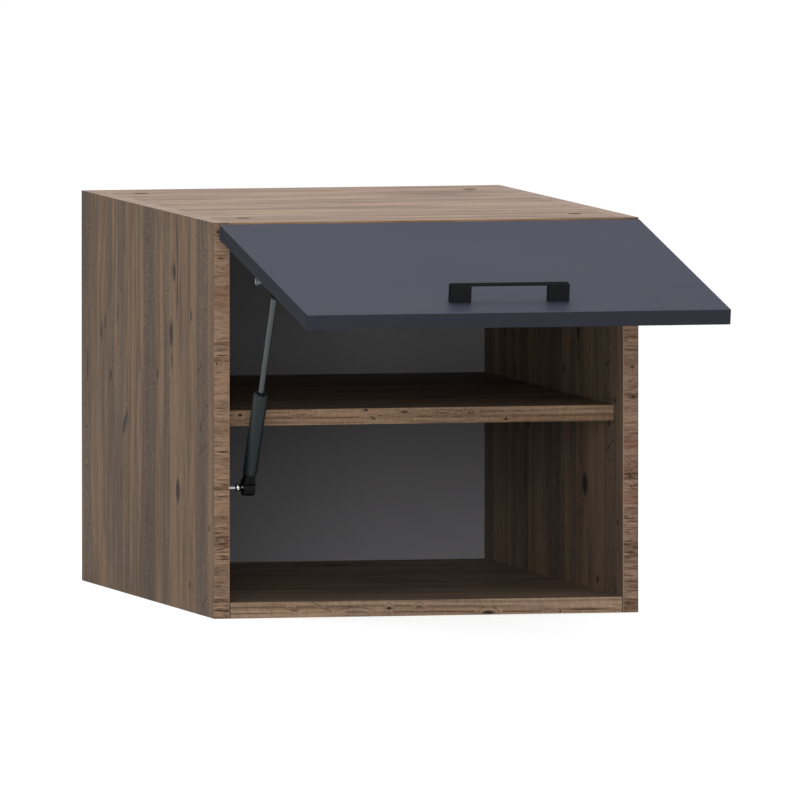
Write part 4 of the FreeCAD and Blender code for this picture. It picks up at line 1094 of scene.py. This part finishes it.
@dataclass
class ScrewSet:
    """Cross-head screws or cams of one size, made by one Geometry Nodes tree."""

    name: str
    node: str
    size: ScrewSize
    points: list[Aimed]
    body: str = CARCASS
    finish: Finish = ZINC
    slot: str = "zinc"
    seed: int = 7
    head_sides: int = 40
    shank_sides: int = 24
    edge_share: float = 0.18
    crown_taper: float = 0.93
    tip_taper: float = 0.86
    cross_reach: float = 1.25

    def tree(self) -> bpy.types.NodeTree:
        """Builds the tree that puts a screw on every point.

        Returns:
            The tree, with its sizes as named inputs.
        """
        tree = bpy.data.node_groups.new(self.name + "_screws", "GeometryNodeTree")
        graph = Graph(tree)
        kinds = {"Geometry": "Geometry", "Seed": "Int", "Finish": "Material"}
        kinds |= dict.fromkeys(self.sizes(), "Float")
        for label, kind in kinds.items():
            tree.interface.new_socket(label, in_out="INPUT", socket_type="NodeSocket" + kind)
        tree.interface.new_socket("Geometry", in_out="OUTPUT", socket_type="NodeSocketGeometry")
        start = tree.nodes.new("NodeGroupInput")
        given = {label: Wire(graph, start.outputs[label]) for label in kinds}

        radius, height, reach = given["Head Radius"], given["Head Height"], given["Length"]
        edge = height * self.edge_share
        crown = self.cone(graph, self.head_sides, radius * self.crown_taper, radius, edge, height - edge)
        skirt = self.cone(graph, self.head_sides, radius, given["Head Foot Radius"], height - edge)
        shank = given["Shank Radius"]
        shank = self.cone(graph, self.shank_sides, shank, shank * self.tip_taper, reach, reach * -1.0)
        wide, narrow = radius * self.cross_reach, given["Slot Width"]
        cross = []
        for x, y in ((wide, narrow), (narrow, wide)):
            size = graph.point(x, y, given["Slot Depth"] * 2.0)
            arm = graph.add("GeometryNodeMeshCube", inputs={"Size": size})
            cross.append(self.moved(graph, arm, height))
        head = graph.add("GeometryNodeMeshBoolean", {"operation": "UNION"}, {"Mesh 2": [crown, skirt]})
        cut = {"Mesh 1": head, "Mesh 2": cross}
        head = graph.add("GeometryNodeMeshBoolean", {"operation": "DIFFERENCE"}, cut)
        whole = graph.add("GeometryNodeJoinGeometry", inputs={0: [head, shank]})

        vector = {"data_type": "FLOAT_VECTOR"}
        direction = graph.add("GeometryNodeInputNamedAttribute", vector, {"Name": "direction"})
        aim = graph.add("FunctionNodeAlignRotationToVector", {"axis": "Z"}, {"Vector": direction})
        draw = {2: 0.0, 3: math.pi / 2, "Seed": given["Seed"]}
        angle = graph.add("FunctionNodeRandomValue", {"data_type": "FLOAT"}, draw, 1)
        turn = {"Axis": (0.0, 0.0, 1.0), "Angle": angle}
        spin = graph.add("FunctionNodeAxisAngleToRotation", inputs=turn)
        turn = {"Rotation": aim, "Rotate By": spin}
        aim = graph.add("FunctionNodeRotateRotation", {"rotation_space": "LOCAL"}, turn)
        stand = {"Points": given["Geometry"], "Instance": whole, "Rotation": aim}
        placed = graph.add("GeometryNodeInstanceOnPoints", inputs=stand)
        real = graph.add("GeometryNodeRealizeInstances", inputs={0: placed})
        cover = {"Geometry": real, "Material": given["Finish"]}
        dressed = graph.add("GeometryNodeSetMaterial", inputs=cover)
        graph.add("NodeGroupOutput", inputs={"Geometry": dressed})
        return tree

    @classmethod
    def cone(
        cls, graph: Graph, sides: int, top: Wire, foot: Wire, depth: Wire, height: Wire | None = None
    ) -> Wire:
        """A closed cone or cylinder that stands on its own foot.

        Args:
            graph: The tree that it goes in.
            sides: How many faces go round.
            top: Its radius at the top.
            foot: Its radius at the foot.
            depth: How tall it is.
            height: Where its foot is, if not at nought.

        Returns:
            The cone.
        """
        sizes = {"Vertices": sides, "Radius Top": top, "Radius Bottom": foot, "Depth": depth}
        part = graph.add("GeometryNodeMeshCone", {"fill_type": "NGON"}, sizes)
        return part if height is None else cls.moved(graph, part, height)

    @staticmethod
    def moved(graph: Graph, part: Wire, height: Wire) -> Wire:
        """A part moved along its own axis."""
        shift = graph.point(0.0, 0.0, height)
        return graph.add("GeometryNodeTransform", inputs={"Geometry": part, "Translation": shift})

    def sizes(self) -> dict[str, float]:
        """The tree's inputs for the sizes of a screw.

        Returns:
            Each size by the name of its input.
        """
        size = self.size
        return {
            "Head Radius": size.head_radius,
            "Head Height": size.head_height,
            "Head Foot Radius": size.shank_radius if size.sunk else size.head_radius,
            "Shank Radius": size.shank_radius,
            "Length": size.length - (size.head_height if size.sunk else 0.0),
            "Slot Width": size.slot_width,
            "Slot Depth": size.slot_depth,
        }

    def build(self) -> None:
        """Puts the screws on their points and turns them into one plain mesh."""
        mesh = bpy.data.meshes.new(self.name + "_points")
        lift = self.size.head_height if self.size.sunk else 0.0
        mesh.from_pydata([point + way * lift for point, way in self.points], [], [])
        attribute = mesh.attributes.new("direction", "FLOAT_VECTOR", "POINT")
        attribute.data.foreach_set("vector", [number for _, way in self.points for number in -way])
        holder = new_object(self.name + "_points", mesh)
        modifier = holder.modifiers.new("screws", "NODES")
        modifier.node_group = self.tree()
        values = {**self.sizes(), "Seed": self.seed, "Finish": self.finish.material()}
        for item in modifier.node_group.interface.items_tree:
            if item.item_type == "SOCKET" and item.in_out == "INPUT" and item.name in values:
                modifier[item.identifier] = values[item.name]
        evaluated = holder.evaluated_get(bpy.context.evaluated_depsgraph_get())
        result = bpy.data.meshes.new_from_object(evaluated)
        result.name = self.name
        holder.modifiers.remove(modifier)
        bpy.data.objects.remove(holder)
        settle(new_object(self.name, result), self.body, self.finish, self.node)


# Head radius, head height, shank radius, length, sunk, slot width and slot depth.
BACK_SCREW = ScrewSize(0.0028, 0.0016, 0.0014, 0.015, True, 0.0007, 0.0009)
PLATE_SCREW = ScrewSize(0.0036, 0.0018, 0.0019, 0.012, True)
ARM_SCREW = ScrewSize(0.0038, 0.0016, 0.0024, 0.007)
CUP_SCREW = ScrewSize(0.0032, 0.0010, 0.0017, 0.011, True)
BRACKET_SCREW = ScrewSize(0.0032, 0.0020, 0.0018, 0.013)
HANDLE_SCREW = ScrewSize(0.0040, 0.0022, 0.0020, 0.024)
HANGER_SCREW = ScrewSize(0.0038, 0.0020, 0.0020, 0.012)
ADJUSTER = ScrewSize(0.0040, 0.0025, 0.0026, 0.0107)
CAM_LOCK = ScrewSize(0.0075, 0.0124, 0.0075, 0.0126, True, 0.0016, 0.0022)


def around(middle: float, reach: float) -> tuple[float, float]:
    """The two places at one distance from a middle."""
    return (middle - reach, middle + reach)


def grid(
    xs: Iterable[float], ys: Iterable[float], zs: Iterable[float], way: Vector, flap: bool = False
) -> list[Aimed]:
    """Aimed points at every meeting of three rows of places.

    Args:
        xs: The places across the cabinet.
        ys: Those in its depth.
        zs: Those in its height.
        way: The way that the screws are driven.
        flap: Whether the places are given on the shut flap.

    Returns:
        Each point with its way.
    """
    points = [Vector((x, y, z)) for x in xs for y in ys for z in zs]
    return [(on_flap(point) if flap else point, way) for point in points]


@dataclass
class Fasteners:
    """All screws and cams of the cabinet, on the places that the CAD part gives them.

    X is across the cabinet, y in its depth and z in its height. A spread is the distance to each side
    of a middle. The places on the flap are given with the flap shut.
    """

    back_y: float = 0.0
    back_side_x: float = 0.212
    back_side_z: tuple[float, ...] = (0.028, 0.144, 0.256, 0.372)
    back_edge_x: float = 0.0968
    back_edge_z: tuple[float, ...] = (0.008, 0.392)
    hinge_x: float = 0.1275
    plate_spread: float = 0.016
    plate_y: float = -0.574
    plate_z: float = 0.3815
    arm_y: tuple[float, ...] = (-0.582, -0.564)
    arm_z: float = 0.3725
    cup_spread: float = 0.024
    cup_y: float = -0.6113
    cup_z: float = 0.3705
    bracket_x: float = -0.192
    bracket_y: float = -0.6109
    bracket_z: float = 0.3026
    bracket_spread: float = 0.014
    handle_x: float = 0.0504
    handle_y: float = -0.6125
    handle_z: float = 0.049
    hanger_wall_x: float = 0.2015
    hanger_y: float = -0.025
    hanger_z: float = 0.358
    hanger_spread: float = 0.015
    adjuster_x: float = 0.195
    adjuster_y: float = -0.037
    adjuster_spread: float = 0.012
    cam_x: float = 0.1725
    cam_y: tuple[float, ...] = (-0.534, -0.071)
    cam_top_z: float = 0.3997
    cam_bottom_z: float = 0.0003

    def build(self) -> None:
        """Makes one set for each kind."""
        self.build_back()
        self.build_hinges()
        self.build_flap()
        self.build_hangers()
        self.build_cams()

    def build_back(self) -> None:
        """Drives the back board's screws into the sides, the top and the bottom."""
        points = grid(around(0.0, self.back_side_x), (self.back_y,), self.back_side_z, FORWARD)
        points += grid(around(0.0, self.back_edge_x), (self.back_y,), self.back_edge_z, FORWARD)
        ScrewSet("back_panel_crosshead_screws", "back_panel_screws", BACK_SCREW, points).build()

    def build_hinges(self) -> None:
        """Fastens the hinges' plates, arms and cups."""
        points = grid(self.beside_hinges(self.plate_spread), (self.plate_y,), (self.plate_z,), UP)
        ScrewSet("hinge_plate_crosshead_screws", "hinge_plate_screws", PLATE_SCREW, points).build()
        points = grid(around(0.0, self.hinge_x), self.arm_y, (self.arm_z,), UP)
        ScrewSet("hinge_arm_crosshead_screws", "hinge_arm_screws", ARM_SCREW, points).build()
        points = grid(self.beside_hinges(self.cup_spread), (self.cup_y,), (self.cup_z,), INTO_FLAP, True)
        ScrewSet("hinge_cup_crosshead_screws", "hinge_cup_screws", CUP_SCREW, points, FLAP).build()

    def beside_hinges(self, spread: float) -> tuple[float, ...]:
        """The places across the cabinet to both sides of each hinge."""
        return (*around(-self.hinge_x, spread), *around(self.hinge_x, spread))

    def build_flap(self) -> None:
        """Fastens the strut's bracket and the handle to the flap."""
        heights = around(self.bracket_z, self.bracket_spread)
        points = grid((self.bracket_x,), (self.bracket_y,), heights, INTO_FLAP, True)
        name, node = "strut_bracket_crosshead_screws", "strut_bracket_screws"
        ScrewSet(name, node, BRACKET_SCREW, points, FLAP).build()
        points = grid(around(0.0, self.handle_x), (self.handle_y,), (self.handle_z,), INTO_FLAP, True)
        ScrewSet("handle_crosshead_screws", "door_handle_screws", HANDLE_SCREW, points, FLAP).build()

    def build_hangers(self) -> None:
        """Fastens the hangers to the sides and gives them their adjusting screws."""
        points = []
        for side in (-1.0, 1.0):
            heights = around(self.hanger_z, self.hanger_spread)
            way = Vector((side, 0.0, 0.0))
            points += grid((side * self.hanger_wall_x,), (self.hanger_y,), heights, way)
        ScrewSet("hanger_crosshead_screws", "hanger_screws", HANGER_SCREW, points).build()
        for name, x in (("left", -self.adjuster_x), ("right", self.adjuster_x)):
            heights = around(self.hanger_z, self.adjuster_spread)
            points = grid((x,), (self.adjuster_y,), heights, -FORWARD)
            node = "hanger_adjusters_" + name
            ScrewSet("hanger_adjusters_crosshead_" + name, node, ADJUSTER, points).build()

    def build_cams(self) -> None:
        """Sets the cam locks into the top's upper face and the bottom's underside."""
        for name, height, way in (("top", self.cam_top_z, -UP), ("bottom", self.cam_bottom_z, UP)):
            points = grid(around(0.0, self.cam_x), self.cam_y, (height,), way)
            node = "cam_locks_" + name
            # The cams' finish holds painted shade of their recesses as well as their brown colour.
            ScrewSet("cam_locks_cross_" + name, node, CAM_LOCK, points, finish=CAM_BROWN_AND_SHADE).build()


@dataclass
class FlapDoor:
    """The flap's edge bands and its handle, sized with the flap shut. The board is the CAD node."""

    half_width: float = 0.2175
    face_in: float = -0.6125
    face_out: float = -0.6285
    top: float = 0.398
    bottom: float = 0.002
    band: float = 0.001
    rounding: float = 0.0009
    handle_width: float = 0.1225
    handle_height: float = 0.049
    handle_depth: float = 0.008
    handle_corner: float = 0.0016
    handle_arris: float = 0.00035
    leg_width: float = 0.0217
    projection: float = 0.0184
    bar: float = 0.0019

    def build(self) -> None:
        """Makes the band ring and the handle."""
        self.build_band()
        self.build_handle()

    def build_band(self) -> None:
        """Sweeps a band with rounded arrises round the four edges, mitred at the corners."""
        outer, rounding = self.band, self.rounding
        profile = [(0.0, self.face_in)]
        for sine, cosine in quarter(5):
            profile.append((outer - rounding * (1 - sine), self.face_in - rounding * (1 - cosine)))
        for sine, cosine in quarter(5):
            profile.append((outer - rounding * (1 - cosine), self.face_out + rounding * (1 - sine)))
        profile.append((0.0, self.face_out))
        shape = bmesh.new()
        rings = []
        for offset, y in profile:
            reach = self.half_width - self.band + offset
            high = self.top - self.band + offset
            low = self.bottom + self.band - offset
            corners = [(-reach, low), (reach, low), (reach, high), (-reach, high)]
            rings.append([shape.verts.new(on_flap(Vector((x, y, z)))) for x, z in corners])
        for first, second in zip(rings, rings[1:] + rings[:1]):
            for corner in range(4):
                following = (corner + 1) % 4
                shape.faces.new([first[corner], first[following], second[following], second[corner]])
        piece = new_piece("door_edge_band_ring", shape, 50.0)
        settle(piece, FLAP, DOOR_EDGE, "door_edge_bands")

    def build_handle(self) -> None:
        """Cuts the bridge handle from one outline and rounds its edges."""
        half, corner = self.handle_width / 2, self.handle_corner
        inner, foot = half - self.leg_width, self.face_out
        outer_y = foot - self.projection
        under = outer_y + self.bar
        arc = [
            (half - corner * (1 - cosine), outer_y + corner * (1 - sine)) for sine, cosine in quarter(4)
        ]
        outline = [(-half, foot), *((-x, y) for x, y in arc), *reversed(arc), (half, foot)]
        outline += [(inner, foot), (inner, under), (-inner, under), (-inner, foot)]
        shape = bmesh.new()
        rows = []
        for z in around(self.handle_height, self.handle_depth / 2):
            rows.append([shape.verts.new(on_flap(Vector((x, y, z)))) for x, y in outline])
        low, high = rows
        for first, second in zip(range(len(low)), [*range(1, len(low)), 0]):
            shape.faces.new([low[first], low[second], high[second], high[first]])
        for row in rows:
            shape.faces.new(row)
        sharp = [edge for edge in shape.edges if edge.calc_face_angle(0.0) > math.radians(60.0)]
        bmesh.ops.bevel(
            shape, geom=sharp, offset=self.handle_arris, segments=2, profile=0.5, affect="EDGES"
        )
        piece = new_piece("door_handle_bridge", shape, 30.0)
        settle(piece, FLAP, BLACK_HANDLE, "door_handle")


@dataclass
class GasStrut:
    """The gas strut's tube and rod, turned about the line between its balls.

    The stem at the tube's foot and the mouth at its top are radius and height pairs, with the heights
    from the foot and from the top.
    """

    lower: Vector = Vector((-0.1791, -0.5847, 0.1309))
    upper: Vector = Vector((-0.1791, -0.7138678, 0.3462061))
    tube_start: float = 0.0166
    tube_length: float = 0.0985
    tube_radius: float = 0.0075
    wall: float = 0.001
    floor: float = 0.003
    foot_rounding: float = 0.0022
    top_rounding: float = 0.0024
    stem: Profile = ((0.0, -0.008), (0.0029, -0.008), (0.003, -0.0075), (0.003, 0.0))
    mouth: Profile = ((0.0040, 0.0), (0.0034, -0.0003), (0.00325, -0.0012))
    rod_radius: float = 0.003
    rod_low: float = 0.1016
    rod_high: float = 0.2384
    foot_chamfer: float = 0.0003
    end_chamfer: float = 0.0004

    def build(self) -> None:
        """Makes the tube with its rounded ends and the ground rod."""
        way = (self.upper - self.lower).normalized()
        radius, low = self.tube_radius, self.tube_start
        high = low + self.tube_length
        bore, rim = radius - self.wall, high + self.mouth[-1][1]
        profile = [(r, low + height) for r, height in self.stem]
        profile += [(radius - self.foot_rounding, low)]
        profile += self.corner(self.foot_rounding, low + self.foot_rounding, -1.0)
        profile += self.corner(self.top_rounding, high - self.top_rounding, 1.0)
        profile += [(r, high + height) for r, height in self.mouth]
        profile += [(bore, rim), (bore, low + self.floor), (0.0, low + self.floor)]
        piece = new_piece("strut_tube_rolled", lathe(profile, self.lower, way), 40.0)
        settle(piece, TUBE, BLACK_TUBE, "strut_tube")

        radius, low, high = self.rod_radius, self.rod_low, self.rod_high
        profile = [(0.0, low), (radius - self.foot_chamfer, low), (radius, low + self.foot_chamfer)]
        profile += [(radius, high - self.end_chamfer), (radius - self.end_chamfer, high), (0.0, high)]
        piece = new_piece("strut_rod_ground", lathe(profile, self.lower, way), 40.0)
        settle(piece, ROD, ROD_STEEL, "strut_rod")

    def corner(self, rounding: float, height: float, side: float) -> Profile:
        """The rounded corner at one end of the tube, from the foot up.

        Args:
            rounding: The corner's own radius.
            height: Where the straight part ends.
            side: -1 at the foot, 1 at the top.

        Returns:
            Radius and height pairs.
        """
        pairs = [
            (self.tube_radius - rounding * (1 - cosine), height + side * rounding * sine)
            for sine, cosine in quarter(6)
        ]
        return pairs if side > 0 else pairs[::-1]


@dataclass(frozen=True)
class Lamp:
    """A soft square lamp."""

    name: str
    place: Vector
    target: Vector
    side: float
    watts: float

    def build(self) -> None:
        """Hangs the lamp and points it at its target."""
        data = bpy.data.lights.new(self.name, "AREA")
        data.shape = "SQUARE"
        data.size = self.side
        data.energy = self.watts
        lamp = new_object(self.name, data)
        lamp.location = self.place
        lamp.rotation_euler = (self.target - self.place).to_track_quat("-Z", "Y").to_euler()


LAMPS = (
    Lamp("top_lamp", Vector((-0.2, -0.2, 2.6)), Vector((0.0, -0.5, 0.2)), side=2.6, watts=34.0),
    Lamp("front_lamp", Vector((-0.9, -3.8, 0.45)), Vector((0.0, -0.6, 0.2)), side=1.6, watts=46.0),
    Lamp("side_lamp", Vector((-3.0, -0.4, 1.0)), Vector((0.0, -0.4, 0.2)), side=2.0, watts=2.5),
)


@dataclass
class Studio:
    """The pale room with its light and the camera.

    The camera looks at aim. Azimuth is in degrees to the right of the front, and elevation above it.
    """

    azimuth: float = -13.184
    elevation: float = 3.502
    aim: Vector = Vector((-0.02758, -0.611, 0.21847))
    distance: float = 37.005
    lens: float = 1650.0
    sensor: float = 36.0
    nearest: float = 1.0
    farthest: float = 200.0
    white: Colour = (1.0, 1.0, 1.0)
    ambient: float = 0.30
    floor_size: float = 60.0
    floor_level: float = -0.0005
    floor_low: Colour = (0.80, 0.80, 0.80)
    floor_high: Colour = (0.82, 0.82, 0.82)
    floor_glow: float = 0.77

    def build(self) -> None:
        """Sets up everything around the cabinet."""
        scene = bpy.context.scene
        scene.view_settings.view_transform = "Standard"
        self.build_world(scene)
        self.build_floor()
        for lamp in LAMPS:
            lamp.build()
        self.build_camera(scene)

    def build_world(self, scene: bpy.types.Scene) -> None:
        """A white world for what is seen and mirrored, and a softer one for the light.

        Args:
            scene: The scene that gets it.
        """
        world = bpy.data.worlds.new("studio")
        world.use_nodes = True
        graph = Graph(world.node_tree)
        strength = self.ambient + graph.seen() * (1.0 - self.ambient)
        light = graph.add("ShaderNodeBackground", inputs={"Color": self.white, "Strength": strength})
        graph.add("ShaderNodeOutputWorld", inputs={"Surface": light})
        scene.world = world

    def build_floor(self) -> None:
        """A wide pale floor that keeps the cabinet's soft shadow."""
        shape = bmesh.new()
        bmesh.ops.create_grid(shape, x_segments=2, y_segments=2, size=self.floor_size)
        for vertex in shape.verts:
            vertex.co.z = self.floor_level
        floor = new_piece("studio_floor", shape)
        material = bpy.data.materials.new("studio_floor_white")
        material.use_nodes = True
        graph = Graph(material.node_tree)
        speck = graph.noise(graph.place(), 40.0, 2.0)
        colour = graph.mix(speck, self.floor_low, self.floor_high)
        paint = graph.add("ShaderNodeBsdfDiffuse", inputs={"Color": colour})
        shine = {"Color": self.white, "Strength": graph.seen() * self.floor_glow}
        glow = graph.add("ShaderNodeEmission", inputs=shine)
        both = graph.add("ShaderNodeAddShader", inputs={0: paint, 1: glow})
        graph.add("ShaderNodeOutputMaterial", inputs={"Surface": both})
        floor.data.materials.append(material)

    def build_camera(self, scene: bpy.types.Scene) -> None:
        """A far camera with a long lens, so that the edges stay nearly parallel.

        Args:
            scene: The scene that gets it.
        """
        turn, tilt = math.radians(self.azimuth), math.radians(self.elevation)
        back = Vector((math.sin(turn) * math.cos(tilt), -math.cos(turn) * math.cos(tilt), math.sin(tilt)))
        data = bpy.data.cameras.new("photo_camera")
        data.lens = self.lens
        data.sensor_width = self.sensor
        data.clip_start = self.nearest
        data.clip_end = self.farthest
        camera = new_object("photo_camera", data)
        camera.location = self.aim + back * self.distance
        camera.rotation_euler = (-back).to_track_quat("-Z", "Y").to_euler()
        scene.camera = camera


def dress_nodes(nodes: dict[str, bpy.types.Object]) -> None:
    """Gives the CAD nodes that stay in sight their finishes.

    Args:
        nodes: The CAD nodes by name.
    """
    for finish, names in KEPT_NODES.items():
        for name in names:
            dress(nodes[name], finish)
            LOG.info("node %s in %s", name, finish.name)


def main() -> None:
    """Loads the frame and builds the looks around it."""
    logging.basicConfig(level=logging.INFO, format="%(message)s")
    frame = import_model()
    dress_nodes(frame["nodes"])
    EdgeBands().build()
    FlapDoor().build()
    GasStrut().build()
    Fasteners().build()
    Studio().build()


if __name__ == "__main__":
    main()
